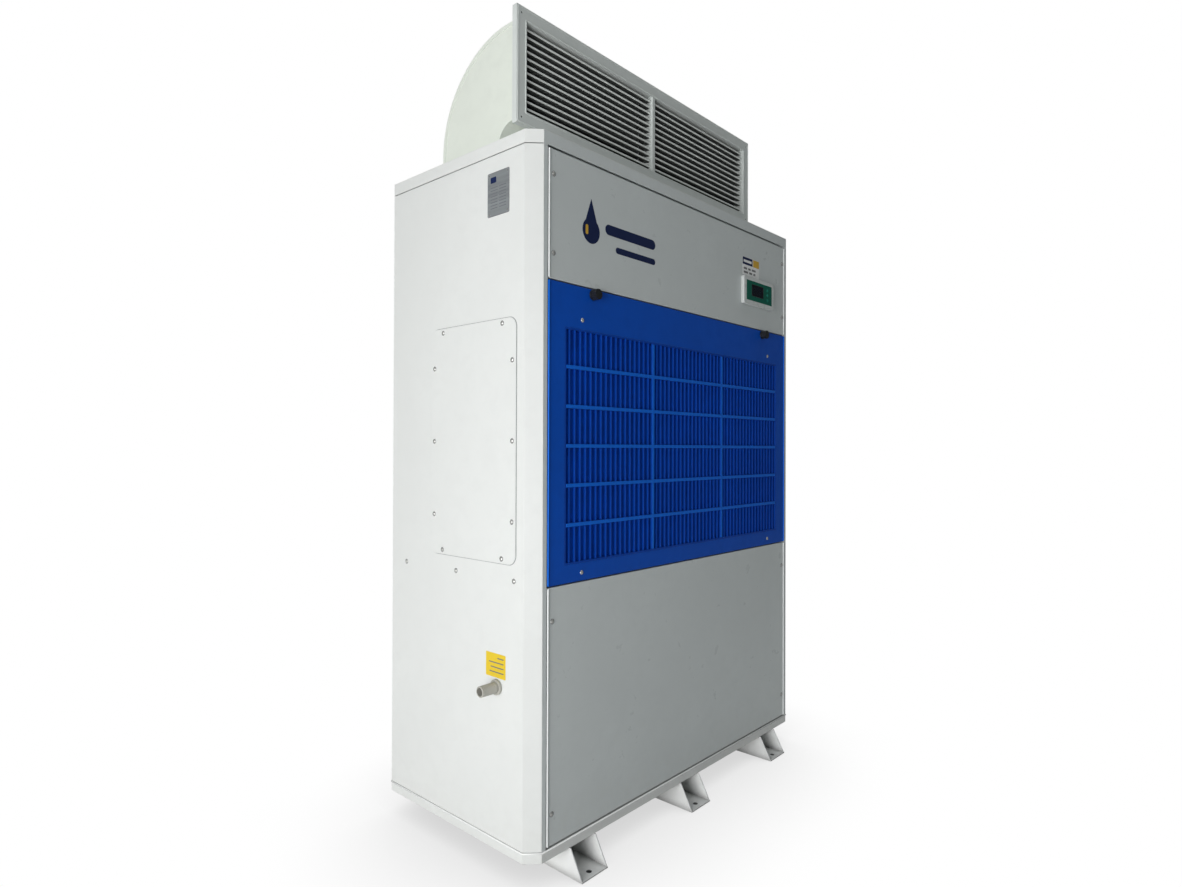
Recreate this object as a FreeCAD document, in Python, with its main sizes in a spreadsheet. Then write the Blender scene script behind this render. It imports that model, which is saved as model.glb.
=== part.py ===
# Floor-standing ducted dehumidifier: steel cabinet on three channel feet, a filter panel with an
# inlet grille in front, and a discharge elbow with a louvred grille on top.
#
# Every sub-part is drawn from one datum: x from the cabinet's left face, y from its front plane,
# z from the underside of its base tray. Each Placement then moves that datum so that the part's
# own origin is at the centre of the floor under the whole machine, +Z up, front facing -Y.
import FreeCAD, Part
import math
import os
import Sketcher

Vector = FreeCAD.Vector
ALONG_X = Vector(1, 0, 0)
ALONG_Y = Vector(0, 1, 0)
ALONG_Z = Vector(0, 0, 1)

# Driving dimensions: millimetres, counts and degrees.
DIMENSIONS = {
    "cabinet_width": 1220,
    "cabinet_depth": 590,
    "cabinet_rise": 1660,
    "corner_chamfer": 31,
    "panel_sheet": 1.5,
    "panel_return": 12,
    "cap_lip": 31,
    "tray_rise": 25,
    "tray_sheet": 2,
    "tray_flange": 20,
    "shut_line": 2,
    # feet
    "foot_rise": 68,
    "foot_width": 90,
    "foot_spacing": 445,
    "foot_reach": 42,
    "foot_slope": 38,
    "foot_sheet": 3,
    "anchor_setback": 22,
    "anchor_radius": 7,
    # front panels
    "door_side_gap": 48,
    "door_sheet": 1.2,
    "door_fold": 22,
    "door_return": 20,
    "door_edge_radius": 1.6,
    "lower_door_low": 29,
    "lower_door_high": 617.5,
    "filter_low": 620.5,
    "filter_high": 1322.5,
    "upper_door_low": 1325.5,
    "upper_door_high": 1624,
    # frame inside the corners
    "post_inset": 31.3,
    "post_face": 11.7,
    "post_depth": 26,
    "post_flange": 30,
    "fascia_low": 1629,
    "frame_sheet": 2,
    "mid_rail_low": 1292,
    "mid_rail_high": 1348,
    "rail_width": 35,
    "shelf_level": 620,
    "deck_level": 1340,
    "ledge_width": 28,
    "bracket_rise": 20,
    # screws
    "screw_head_radius": 5.5,
    "screw_head_rise": 3.2,
    "screw_shank_radius": 2,
    "screw_hole_radius": 2.1,
    "screw_reach": 6,
    "door_screw_reach": 29,
    "door_screw_inset": 61.5,
    # filter panel
    "grille_left": 100,
    "grille_low": 663,
    "grille_width": 1020,
    "grille_rise": 558,
    "grille_columns": 3,
    "grille_rows": 6,
    "fins_per_column": 18,
    "grille_rib": 9,
    "grille_fin": 3,
    "grille_depth": 8,
    "fin_setback": 1.5,
    "grille_border": 29,
    "filter_thickness": 10,
    "hinge_back": 5,
    "hinge_up": 4.5,
    "hinge_pin_radius": 2.5,
    "hinge_hole_radius": 2.55,
    "hinge_pin_length": 9,
    "thumbscrew_inset": 197,
    "thumbscrew_drop": 13.5,
    "knob_radius": 13,
    "knob_rise": 20,
    "thumbscrew_shank": 3,
    "thumbscrew_hole": 3.05,
    "thumbscrew_reach": 34,
    "rail_clearance": 5,
    # left side
    "cover_front": 56,
    "cover_depth": 324,
    "cover_low": 668,
    "cover_rise": 570,
    "cover_radius": 24,
    "cover_sheet": 2,
    "cover_overlap": 28,
    "nameplate_front": 84,
    "nameplate_depth": 75,
    "nameplate_low": 1484,
    "nameplate_rise": 102,
    "spout_front": 120,
    "spout_level": 379,
    "spout_reach": 52,
    "spout_radius": 13,
    "spout_bore": 9.5,
    "rivet_level": 632,
    # right side
    "gland_front": 520,
    "gland_level": 190,
    "gland_reach": 24,
    "gland_radius": 14,
    "gland_bore": 7,
    # discharge elbow and its grille
    "duct_inset": 85,
    "duct_sheet": 1.2,
    "duct_front": 132,
    "duct_rear": 450.5,
    "bend_radius": 264.5,
    "bend_level": 70,
    "throat_rear": 221,
    "throat_radius": 50,
    "throat_level": 40,
    "grille_front": 130,
    "frame_left": 63,
    "frame_low": 68,
    "frame_height": 288,
    "frame_border": 33,
    "frame_plate": 2,
    "frame_fold": 16,
    "neck_depth": 36,
    "mullion_width": 12,
    "louvre_count": 12,
    "louvre_setback": 17,
    "louvre_chord": 20,
    "louvre_thick": 2.2,
    "louvre_end_gap": 0.5,
    "spindle_radius": 2,
    "spindle_hole": 2.05,
    "crank_radius": 8,
    "crank_pin": 1.2,
    "crank_hole": 1.25,
    "tie_offset": 46,
    "tie_sheet": 2,
    "tie_width": 5,
    "tie_notch": 8,
    # controller
    "controller_left": 892,
    "controller_width": 191,
    "controller_low": 1395,
    "controller_rise": 88,
    "controller_proud": 11,
    "controller_radius": 7,
    "face_left": 907,
    "face_width": 161,
    "face_low": 1408,
    "face_rise": 63,
    "face_sheet": 2,
    "display_left": 939,
    "display_width": 72,
    "display_low": 1424,
    "display_rise": 36,
    "button_radius": 4,
    "button_gap": 0.3,
    "button_left": 1040,
    "button_low": 1423,
    "button_pitch": 16.5,
    "button_proud": 1,
    "button_travel": 0.6,
    # fans
    "fan_centre_back": 308,
    "fan_centre_up": 1482,
    "scroll_radius": 140,
    "scroll_width": 260,
    "scroll_left": 170,
    "scroll_inlet": 84,
    "impeller_radius": 100,
    "impeller_width": 200,
    "impeller_blades": 24,
    "impeller_ring": 16,
    "fan_shaft_radius": 10,
    "fan_shaft_hole": 10.05,
    "motor_radius": 80,
    "motor_length": 250,
    # refrigeration
    "compressor_left": 800,
    "compressor_back": 330,
    "compressor_radius": 95,
    "compressor_rise": 420,
    "compressor_dome": 45,
    "compressor_plate": 8,
    "mount_rise": 28,
    "mount_radius": 18,
    "mount_spread": 80,
    "coil_left": 110,
    "coil_width": 1000,
    "coil_low": 656,
    "coil_rise": 660,
    "coil_fin_pitch": 20,
    "coil_fin_sheet": 1.5,
    "evaporator_front": 110,
    "evaporator_depth": 80,
    "condenser_front": 215,
    "condenser_depth": 60,
    "pan_left": 60,
    "pan_right": 1160,
    "pan_front": 90,
    "pan_rear": 300,
    "pan_rise": 28,
    "drain_radius": 10,
    "riser_left": 1135,
    "hot_riser_left": 1160,
}

doc = FreeCAD.newDocument("Dehumidifier")
sheet = doc.addObject("Spreadsheet::Sheet", "Dims")
for row, (alias, number) in enumerate(DIMENSIONS.items(), start=1):
    sheet.set("A%d" % row, str(number))
    sheet.setAlias("A%d" % row, alias)
doc.recompute()

# Where the datum lies in the part's own frame: the spout and the gland stick out of the two sides
# by different amounts, so the cabinet stands a little to the right of the middle of the whole.
DATUM_X = "(Dims.spout_reach - Dims.gland_reach) / 2 - Dims.cabinet_width / 2"
DATUM_Y = "-Dims.cabinet_depth / 2"
DATUM_Z = "Dims.foot_rise"

nodes = []


def size(expression):
    """The value of an expression on the sheet, in millimetres."""
    return float(sheet.evalExpression(expression))


def dim(alias):
    """One driving dimension."""
    return size("Dims." + alias)


def from_right(expression):
    """The same distance measured from the cabinet's right face."""
    return "Dims.cabinet_width - (%s)" % expression


def place(part, x="0", y="0", z="0"):
    """Put a sub-part's drawing datum at its place in the part's frame, and keep it as a node."""
    part.setExpression("Placement.Base.x", "%s + %s" % (DATUM_X, x))
    part.setExpression("Placement.Base.y", "%s + %s" % (DATUM_Y, y))
    part.setExpression("Placement.Base.z", "%s + %s" % (DATUM_Z, z))
    nodes.append(part)
    return part


def new_body(label, x="0", y="0", z="0"):
    """A PartDesign body that is one node."""
    body = doc.addObject("PartDesign::Body", label)
    body.Label = label
    body.AllowCompound = True
    return place(body, x, y, z)


def new_feature(label, shape, x="0", y="0", z="0"):
    """A node whose shape is worked out here from the sheet."""
    part = doc.addObject("Part::Feature", label)
    part.Label = label
    part.Shape = shape
    return place(part, x, y, z)


def new_sketch(body, role, offset="0"):
    """A sketch on one of the body's own origin planes, moved along the plane's normal."""
    sketch = body.newObject("Sketcher::SketchObject", body.Name + "_sketch")
    plane = [item for item in body.Origin.OriginFeatures if item.Role == role][0]
    sketch.AttachmentSupport = [(plane, "")]
    sketch.MapMode = "FlatFace"
    sketch.setExpression("AttachmentOffset.Base.z", offset)
    return sketch


def level_sketch(body, z="0"):
    """A horizontal sketch at height z: across is x, up the page is y."""
    return new_sketch(body, "XY_Plane", z)


def front_sketch(body, y="0"):
    """An upright sketch facing the front at depth y: across is x, up the page is z."""
    return new_sketch(body, "XZ_Plane", "-(%s)" % y)


def side_sketch(body, x="0"):
    """An upright sketch facing the side at x: across is y, up the page is z."""
    return new_sketch(body, "YZ_Plane", x)


def fix_point(sketch, edge, end, across, up):
    """Tie one end of an edge to its place by two expressions."""
    index = sketch.addConstraint(
        Sketcher.Constraint("DistanceX", -1, 1, edge, end, size(across)))
    sketch.setExpression("Constraints[%d]" % index, across)
    index = sketch.addConstraint(
        Sketcher.Constraint("DistanceY", -1, 1, edge, end, size(up)))
    sketch.setExpression("Constraints[%d]" % index, up)


def fix_radius(sketch, edge, radius):
    """Tie an arc's or a circle's radius to an expression."""
    index = sketch.addConstraint(Sketcher.Constraint("Radius", edge, size(radius)))
    sketch.setExpression("Constraints[%d]" % index, radius)


def arc_between(start, end, radius, turn):
    """The short arc from start to end, turning left for turn 1 and right for turn -1."""
    chord = end.sub(start)
    half = chord.Length / 2
    left = Vector(-chord.y, chord.x, 0).normalize()
    centre = start.add(end).multiply(0.5).add(
        Vector(left).multiply(turn * math.sqrt(max(radius * radius - half * half, 0))))
    first, last = (start, end) if turn > 0 else (end, start)
    start_angle = math.atan2(first.y - centre.y, first.x - centre.x)
    end_angle = math.atan2(last.y - centre.y, last.x - centre.x)
    if end_angle <= start_angle:
        end_angle += 2 * math.pi
    return Part.ArcOfCircle(Part.Circle(centre, ALONG_Z, radius), start_angle, end_angle)


def outline(sketch, corners):
    """Draw a closed outline with every corner tied to the sheet.

    A corner is (across, up), or (across, up, radius, turn) where the edge that leaves it is an arc.
    """
    points = [Vector(size(corner[0]), size(corner[1]), 0) for corner in corners]
    edges = []
    for place_in_loop, corner in enumerate(corners):
        start = points[place_in_loop]
        end = points[(place_in_loop + 1) % len(points)]
        if len(corner) == 2:
            edge = sketch.addGeometry(Part.LineSegment(start, end), False)
            edges.append((edge, 1, 2))
        else:
            arc = arc_between(start, end, size(corner[2]), corner[3])
            edge = sketch.addGeometry(arc, False)
            edges.append((edge, 1, 2) if corner[3] > 0 else (edge, 2, 1))
    for place_in_loop, (edge, first, last) in enumerate(edges):
        following, following_first, _ = edges[(place_in_loop + 1) % len(edges)]
        sketch.addConstraint(
            Sketcher.Constraint("Coincident", edge, last, following, following_first))
    for (edge, first, _), corner in zip(edges, corners):
        fix_point(sketch, edge, first, corner[0], corner[1])
        if len(corner) > 2:
            fix_radius(sketch, edge, corner[2])


def rectangle(sketch, left, low, right, high):
    """Draw a rectangle from two opposite corners."""
    outline(sketch, [(left, low), (right, low), (right, high), (left, high)])


def rounded_rectangle(sketch, left, low, right, high, radius):
    """Draw a rectangle whose corners are quarter rounds."""
    outline(sketch, [
        ("%s + %s" % (left, radius), low),
        ("%s - %s" % (right, radius), low, radius, 1),
        (right, "%s + %s" % (low, radius)),
        (right, "%s - %s" % (high, radius), radius, 1),
        ("%s - %s" % (right, radius), high),
        ("%s + %s" % (left, radius), high, radius, 1),
        (left, "%s - %s" % (high, radius)),
        (left, "%s + %s" % (low, radius), radius, 1),
    ])


def circle(sketch, across, up, radius):
    """Draw a circle."""
    centre = Vector(size(across), size(up), 0)
    edge = sketch.addGeometry(Part.Circle(centre, ALONG_Z, size(radius)), False)
    fix_point(sketch, edge, 3, across, up)
    fix_radius(sketch, edge, radius)


def pad(body, sketch, length, backwards=False):
    """Grow a sketch into a solid along its normal, or against it."""
    feature = body.newObject("PartDesign::Pad", body.Name + "_pad")
    feature.Profile = sketch
    feature.setExpression("Length", length)
    feature.Reversed = backwards
    sketch.Visibility = False
    return feature


def pocket(body, sketch, length, backwards=False):
    """Cut a sketch out of the solid: forwards goes against the sketch's normal."""
    feature = body.newObject("PartDesign::Pocket", body.Name + "_pocket")
    feature.Profile = sketch
    feature.setExpression("Length", length)
    feature.Reversed = backwards
    sketch.Visibility = False
    return feature


def slab(body, low_corner, high_corner):
    """Add a rectangular block between two corners, each (x, y, z)."""
    sketch = level_sketch(body, low_corner[2])
    rectangle(sketch, low_corner[0], low_corner[1], high_corner[0], high_corner[1])
    return pad(body, sketch, "%s - (%s)" % (high_corner[2], low_corner[2]))


def front_plate(body, left, low, right, high, y, thickness):
    """Add an upright plate that faces the front."""
    sketch = front_sketch(body, y)
    rectangle(sketch, left, low, right, high)
    return pad(body, sketch, thickness, backwards=True)


def front_ring(body, left, low, right, high, width, y, thickness):
    """Add an upright rectangular ring that faces the front."""
    sketch = front_sketch(body, y)
    rectangle(sketch, left, low, right, high)
    rectangle(sketch, "%s + %s" % (left, width), "%s + %s" % (low, width),
              "%s - %s" % (right, width), "%s - %s" % (high, width))
    return pad(body, sketch, thickness, backwards=True)


def front_holes(body, centres, radius, y, depth):
    """Cut round holes that run front to back from depth y."""
    sketch = front_sketch(body, y)
    for across, up in centres:
        circle(sketch, across, up, radius)
    return pocket(body, sketch, depth)


def side_holes(body, centres, radius, x, depth):
    """Cut round holes that run across the machine, from x towards +x."""
    sketch = side_sketch(body, x)
    for across, up in centres:
        circle(sketch, across, up, radius)
    return pocket(body, sketch, depth, backwards=True)


def fillet_edges(body, feature, radius, wanted):
    """Round the edges of a feature that the test picks."""
    doc.recompute()
    names = ["Edge%d" % number for number, edge in enumerate(feature.Shape.Edges, start=1)
             if wanted(edge)]
    rounding = body.newObject("PartDesign::Fillet", body.Name + "_fillet")
    rounding.Base = (feature, names)
    rounding.setExpression("Radius", radius)
    return rounding


def chamfered_plan(sketch, inset="0"):
    """The cabinet's plan, a rectangle with cut corners, drawn smaller by an inset all round."""
    leg = "(Dims.corner_chamfer - 0.5858 * (%s))" % inset
    right = "(Dims.cabinet_width - (%s))" % inset
    rear = "(Dims.cabinet_depth - (%s))" % inset
    left = "(%s)" % inset
    outline(sketch, [
        ("%s + %s" % (left, leg), left),
        ("%s - %s" % (right, leg), left),
        (right, "%s + %s" % (left, leg)),
        (right, "%s - %s" % (rear, leg)),
        ("%s - %s" % (right, leg), rear),
        ("%s + %s" % (left, leg), rear),
        (left, "%s - %s" % (rear, leg)),
        (left, "%s + %s" % (left, leg)),
    ])


# ---------------------------------------------------------------- base, feet and frame

def base_frame():
    """Folded tray: floor, upstand and a flange turned in at the top."""
    body = new_body("base_frame")
    floor = level_sketch(body)
    chamfered_plan(floor)
    pad(body, floor, "Dims.tray_sheet")
    wall = level_sketch(body)
    chamfered_plan(wall)
    chamfered_plan(wall, "Dims.tray_sheet")
    pad(body, wall, "Dims.tray_rise")
    flange = level_sketch(body, "Dims.tray_rise - Dims.tray_sheet")
    chamfered_plan(flange)
    chamfered_plan(flange, "Dims.tray_flange")
    pad(body, flange, "Dims.tray_sheet")


def foot(label, offset):
    """Channel foot under the tray: flat web on the floor and two cheeks with sloping ends."""
    body = new_body(label, x="Dims.cabinet_width / 2 + (%s) - Dims.foot_width / 2" % offset,
                    z="-Dims.foot_rise")
    front = "-Dims.foot_reach"
    rear = "Dims.cabinet_depth + Dims.foot_reach"
    slab(body, ("0", front, "0"), ("Dims.foot_width", rear, "Dims.foot_sheet"))
    for x in ("0", "Dims.foot_width - Dims.foot_sheet"):
        cheek = side_sketch(body, x)
        outline(cheek, [
            (front, "0"),
            (rear, "0"),
            ("%s - Dims.foot_slope" % rear, "Dims.foot_rise"),
            ("%s + Dims.foot_slope" % front, "Dims.foot_rise"),
        ])
        pad(body, cheek, "Dims.foot_sheet")
    anchors = level_sketch(body, "Dims.foot_sheet")
    for y in ("-Dims.anchor_setback", "Dims.cabinet_depth + Dims.anchor_setback"):
        circle(anchors, "Dims.foot_width / 2", y, "Dims.anchor_radius")
    pocket(body, anchors, "Dims.foot_sheet")


def post_outline(sketch, flip_x, flip_y):
    """Plan of one corner post, a Z section; the flips mirror it to the other corners."""
    near = "Dims.post_inset"
    web = "(Dims.post_inset + Dims.post_face - Dims.frame_sheet)"
    back = "Dims.post_depth"
    corners = [
        (near, "0"),
        ("%s + Dims.frame_sheet" % web, "0"),
        ("%s + Dims.frame_sheet" % web, "%s - Dims.frame_sheet" % back),
        ("%s + Dims.frame_sheet + Dims.post_flange" % web, "%s - Dims.frame_sheet" % back),
        ("%s + Dims.frame_sheet + Dims.post_flange" % web, back),
        (web, back),
        (web, "Dims.frame_sheet"),
        (near, "Dims.frame_sheet"),
    ]
    if flip_x:
        corners = [(from_right(x), y) for x, y in corners]
    if flip_y:
        corners = [(x, "Dims.cabinet_depth - (%s)" % y) for x, y in corners]
    outline(sketch, corners)


def cabinet_frame():
    """Four corner posts, a fascia at the front and the rear, and rails and ledges between them."""
    body = new_body("cabinet_frame")
    top = "(Dims.cabinet_rise - Dims.panel_sheet)"
    posts = level_sketch(body, "Dims.tray_rise")
    for flip_x in (False, True):
        for flip_y in (False, True):
            post_outline(posts, flip_x, flip_y)
    pad(body, posts, "%s - Dims.tray_rise" % top)

    flange_end = "(Dims.post_inset + Dims.post_face + Dims.post_flange)"
    far_end = "Dims.cabinet_width - %s" % flange_end
    rail_front = "(Dims.post_depth - Dims.frame_sheet)"
    rail_rear = "(Dims.cabinet_depth - %s - Dims.frame_sheet)" % rail_front
    rail_heights = [
        ("Dims.mid_rail_low", "Dims.mid_rail_high"),
        ("Dims.lower_door_high - Dims.rail_width / 2", "Dims.lower_door_high + Dims.rail_width / 2"),
        ("%s - Dims.rail_width" % top, top),
    ]
    for low, high in rail_heights:
        for y in (rail_front, rail_rear):
            front_plate(body, flange_end, low, far_end, high, y, "Dims.frame_sheet")
    post_end = "(Dims.post_inset + Dims.post_face)"
    for y in ("0", "Dims.cabinet_depth - Dims.frame_sheet"):
        front_plate(body, post_end, "Dims.fascia_low", from_right(post_end), top, y,
                    "Dims.frame_sheet")

    web = "(Dims.post_inset + Dims.post_face - Dims.frame_sheet)"
    web_far = from_right("%s + Dims.frame_sheet" % web)
    run_front = "Dims.post_depth"
    run_rear = "Dims.cabinet_depth - (%s)" % run_front
    side_heights = [
        ("Dims.shelf_level - Dims.rail_width / 2", "Dims.shelf_level + Dims.rail_width"),
        ("Dims.deck_level - Dims.rail_width", "Dims.deck_level + Dims.rail_width / 2"),
        ("%s - Dims.rail_width" % top, top),
    ]
    for low, high in side_heights:
        for x in (web, web_far):
            slab(body, (x, run_front, low), ("%s + Dims.frame_sheet" % x, run_rear, high))

    ledge_near = "%s + Dims.frame_sheet" % web
    for level, rear in (("Dims.shelf_level", "Dims.pan_rear"), ("Dims.deck_level", "530")):
        for x in (ledge_near, "%s - Dims.ledge_width" % web_far):
            slab(body, (x, "60", "%s - Dims.frame_sheet" % level),
                 ("%s + Dims.ledge_width" % x, rear, level))

    skin = "Dims.panel_sheet"
    for near, far, lip in ((skin, web, skin), (from_right(web), from_right(skin),
                                               "%s - Dims.frame_sheet" % from_right(skin))):
        slab(body, (near, "60", "Dims.shelf_level"),
             (far, "530", "Dims.shelf_level + Dims.frame_sheet"))
        slab(body, (lip, "60", "Dims.shelf_level"),
             ("%s + Dims.frame_sheet" % lip, "530", "Dims.shelf_level + Dims.bracket_rise"))

    hinge = side_sketch(body, web)
    circle(hinge, "Dims.hinge_back", "Dims.filter_low + Dims.hinge_up", "Dims.hinge_hole_radius")
    pocket(body, hinge, "Dims.frame_sheet", backwards=True)
    hinge_far = side_sketch(body, web_far)
    circle(hinge_far, "Dims.hinge_back", "Dims.filter_low + Dims.hinge_up", "Dims.hinge_hole_radius")
    pocket(body, hinge_far, "Dims.frame_sheet", backwards=True)
    front_holes(body, thumbscrew_centres(), "Dims.rail_clearance", rail_front, "Dims.frame_sheet")
    front_holes(body, door_screw_centres(UPPER_SCREWS + LOWER_SCREWS), "Dims.screw_hole_radius",
                rail_front, "Dims.frame_sheet")
    front_holes(body, rear_screw_centres(), "Dims.screw_hole_radius", rail_rear,
                "Dims.frame_sheet")
    side_holes(body, rivet_centres(), "Dims.screw_hole_radius", skin, "Dims.frame_sheet")
    side_holes(body, rivet_centres(), "Dims.screw_hole_radius",
               "%s - Dims.frame_sheet" % from_right(skin), "Dims.frame_sheet")


# ---------------------------------------------------------------- outer panels

def side_panel(label, mirrored):
    """Side skin: flat face, two chamfered corner strips and their folded-back ends."""
    body = new_body(label)
    sketch = level_sketch(body, "Dims.tray_rise + Dims.shut_line / 2")
    chamfer = "Dims.corner_chamfer"
    skin = "Dims.panel_sheet"
    front_run = [
        (chamfer, "Dims.panel_return"),
        (chamfer, "0"),
        ("0", chamfer),
    ]
    inner_run = [
        (skin, "%s + 0.4142 * %s" % (chamfer, skin)),
        ("%s - %s" % (chamfer, skin), "2.4142 * %s" % skin),
        ("%s - %s" % (chamfer, skin), "Dims.panel_return"),
    ]
    corners = list(front_run)
    corners += [(x, "Dims.cabinet_depth - (%s)" % y) for x, y in reversed(front_run)]
    corners += [(x, "Dims.cabinet_depth - (%s)" % y) for x, y in reversed(inner_run)]
    corners += list(inner_run)
    if mirrored:
        corners = [(from_right(x), y) for x, y in corners]
    outline(sketch, corners)
    pad(body, sketch, "Dims.cabinet_rise - Dims.cap_lip - Dims.tray_rise - 1.5 * Dims.shut_line")

    if mirrored:
        outer = "Dims.cabinet_width - Dims.panel_sheet"
        side_holes(body, rivet_centres(), "Dims.screw_hole_radius", outer, "Dims.panel_sheet")
        side_holes(body, [("Dims.gland_front", "Dims.gland_level")],
                   "Dims.gland_radius - 3.5", outer, "Dims.panel_sheet")
    else:
        window = side_sketch(body)
        rectangle(window,
                  "Dims.cover_front + Dims.cover_overlap", "Dims.cover_low + Dims.cover_overlap",
                  "Dims.cover_front + Dims.cover_depth - Dims.cover_overlap",
                  "Dims.cover_low + Dims.cover_rise - Dims.cover_overlap")
        pocket(body, window, "Dims.panel_sheet", backwards=True)
        side_holes(body, rivet_centres() + cover_screw_centres(), "Dims.screw_hole_radius",
                   "0", "Dims.panel_sheet")
        side_holes(body, [("Dims.spout_front", "Dims.spout_level")],
                   "Dims.spout_radius - 0.5", "0", "Dims.panel_sheet")


def rivet_centres():
    """Three fixings in a row along each side, where the shelf rail is held."""
    return [(across, "Dims.rivet_level")
            for across in ("Dims.cover_front + 7", "Dims.cabinet_depth / 2 - 17",
                           "Dims.cabinet_depth - 98")]


def cover_screw_centres():
    """Ten fixings round the service cover: three up each side, two along the top and bottom."""
    middle_y = "(Dims.cover_front + Dims.cover_depth / 2)"
    middle_z = "(Dims.cover_low + Dims.cover_rise / 2)"
    centres = []
    for side in (-1, 1):
        for step in (-1, 0, 1):
            centres.append(("%s + %d * (Dims.cover_depth / 2 - 13)" % (middle_y, side),
                            "%s + %d * Dims.cover_rise * 0.326" % (middle_z, step)))
        for end in (-1, 1):
            centres.append(("%s + %d * Dims.cover_depth * 0.35" % (middle_y, side),
                            "%s + %d * (Dims.cover_rise / 2 - 11)" % (middle_z, end)))
    return centres


def service_cover():
    """Flat cover with rounded corners, screwed over the service opening in the left side."""
    body = new_body("service_cover")
    sketch = side_sketch(body, "-Dims.cover_sheet")
    rounded_rectangle(sketch, "Dims.cover_front", "Dims.cover_low",
                      "(Dims.cover_front + Dims.cover_depth)", "(Dims.cover_low + Dims.cover_rise)",
                      "Dims.cover_radius")
    pad(body, sketch, "Dims.cover_sheet")
    side_holes(body, cover_screw_centres(), "Dims.screw_hole_radius",
               "-Dims.cover_sheet", "Dims.cover_sheet")


def nameplate():
    """Small rating plate on the left side, blank."""
    body = new_body("nameplate")
    sketch = side_sketch(body, "-0.8")
    rounded_rectangle(sketch, "Dims.nameplate_front", "Dims.nameplate_low",
                      "(Dims.nameplate_front + Dims.nameplate_depth)",
                      "(Dims.nameplate_low + Dims.nameplate_rise)", "3")
    pad(body, sketch, "0.8")


def rear_screw_centres():
    """Four screws up each edge of the rear panel."""
    centres = []
    for across in ("Dims.door_screw_inset", from_right("Dims.door_screw_inset")):
        for step in range(4):
            centres.append((across, "Dims.cabinet_rise * (0.06 + %g)" % (0.285 * step)))
    return centres


def rear_panel():
    """Rear skin, a folded tray like the front panels but in one piece."""
    body = new_body("rear_panel")
    left = "Dims.door_side_gap"
    right = from_right("Dims.door_side_gap")
    low = "Dims.lower_door_low"
    high = "Dims.upper_door_high"
    rear = "Dims.cabinet_depth"
    front_plate(body, left, low, right, high, "%s - Dims.door_sheet" % rear, "Dims.door_sheet")
    front_ring(body, left, low, right, high, "Dims.door_sheet",
               "%s - Dims.door_fold" % rear, "Dims.door_fold")
    front_ring(body, left, low, right, high, "Dims.door_return",
               "%s - Dims.door_fold" % rear, "Dims.door_sheet")
    front_holes(body, rear_screw_centres(), "Dims.screw_hole_radius",
                "%s - Dims.door_fold" % rear, "Dims.door_fold")


def top_cover():
    """Cap with a discharge opening and a lip turned down at the two sides."""
    body = new_body("top_cover", z="Dims.cabinet_rise")
    plate = level_sketch(body, "-Dims.panel_sheet")
    chamfered_plan(plate)
    rectangle(plate, "Dims.duct_inset + Dims.duct_sheet", "Dims.throat_rear + Dims.duct_sheet",
              from_right("Dims.duct_inset + Dims.duct_sheet"), "Dims.duct_rear - Dims.duct_sheet")
    pad(body, plate, "Dims.panel_sheet")
    lip = level_sketch(body, "-Dims.cap_lip")
    chamfered_plan(lip)
    chamfered_plan(lip, "Dims.panel_sheet")
    pad(body, lip, "Dims.cap_lip")
    for y in ("-1", "Dims.cabinet_depth - Dims.frame_sheet - 0.5"):
        gap = front_sketch(body, y)
        rectangle(gap, "Dims.corner_chamfer", "-Dims.cap_lip - 1",
                  from_right("Dims.corner_chamfer"), "-Dims.panel_sheet")
        pocket(body, gap, "Dims.frame_sheet + 1.5")


def door_tray(body, low, high):
    """Folded front panel: skin, four edges folded back and a return all round."""
    left = "Dims.door_side_gap"
    right = from_right("Dims.door_side_gap")
    front_plate(body, left, low, right, high, "0", "Dims.door_sheet")
    front_ring(body, left, low, right, high, "Dims.door_sheet", "0", "Dims.door_fold")
    tray = front_ring(body, left, low, right, high, "Dims.door_return",
                      "Dims.door_fold - Dims.door_sheet", "Dims.door_sheet")
    edge_left = dim("door_side_gap")
    edge_right = dim("cabinet_width") - edge_left

    def on_front_rim(edge):
        box = edge.BoundBox
        if box.YMax > 0.01:
            return False
        upright = box.XLength < 0.01 and min(abs(box.XMin - edge_left),
                                             abs(box.XMin - edge_right)) < 0.01
        flat = box.ZLength < 0.01 and min(abs(box.ZMin - size(low)),
                                          abs(box.ZMin - size(high))) < 0.01
        return upright or flat

    fillet_edges(body, tray, "Dims.door_edge_radius", on_front_rim)


def door_screw_centres(heights):
    """Screws up the two edges of a front panel."""
    return [(across, height) for height in heights
            for across in ("Dims.door_screw_inset", from_right("Dims.door_screw_inset"))]


UPPER_SCREWS = ("Dims.upper_door_low + 59.5", "Dims.upper_door_high - 57")
LOWER_SCREWS = ("Dims.lower_door_low + 71.5", "Dims.lower_door_high - 77.5")


def upper_front_panel():
    """Fixed panel over the fans, which carries the controller."""
    body = new_body("upper_front_panel")
    door_tray(body, "Dims.upper_door_low", "Dims.upper_door_high")
    front_holes(body, door_screw_centres(UPPER_SCREWS), "Dims.screw_hole_radius",
                "0", "Dims.door_fold")


def lower_front_panel():
    """Fixed panel over the compressor space."""
    body = new_body("lower_front_panel")
    door_tray(body, "Dims.lower_door_low", "Dims.lower_door_high")
    front_holes(body, door_screw_centres(LOWER_SCREWS), "Dims.screw_hole_radius",
                "0", "Dims.door_fold")


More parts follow.
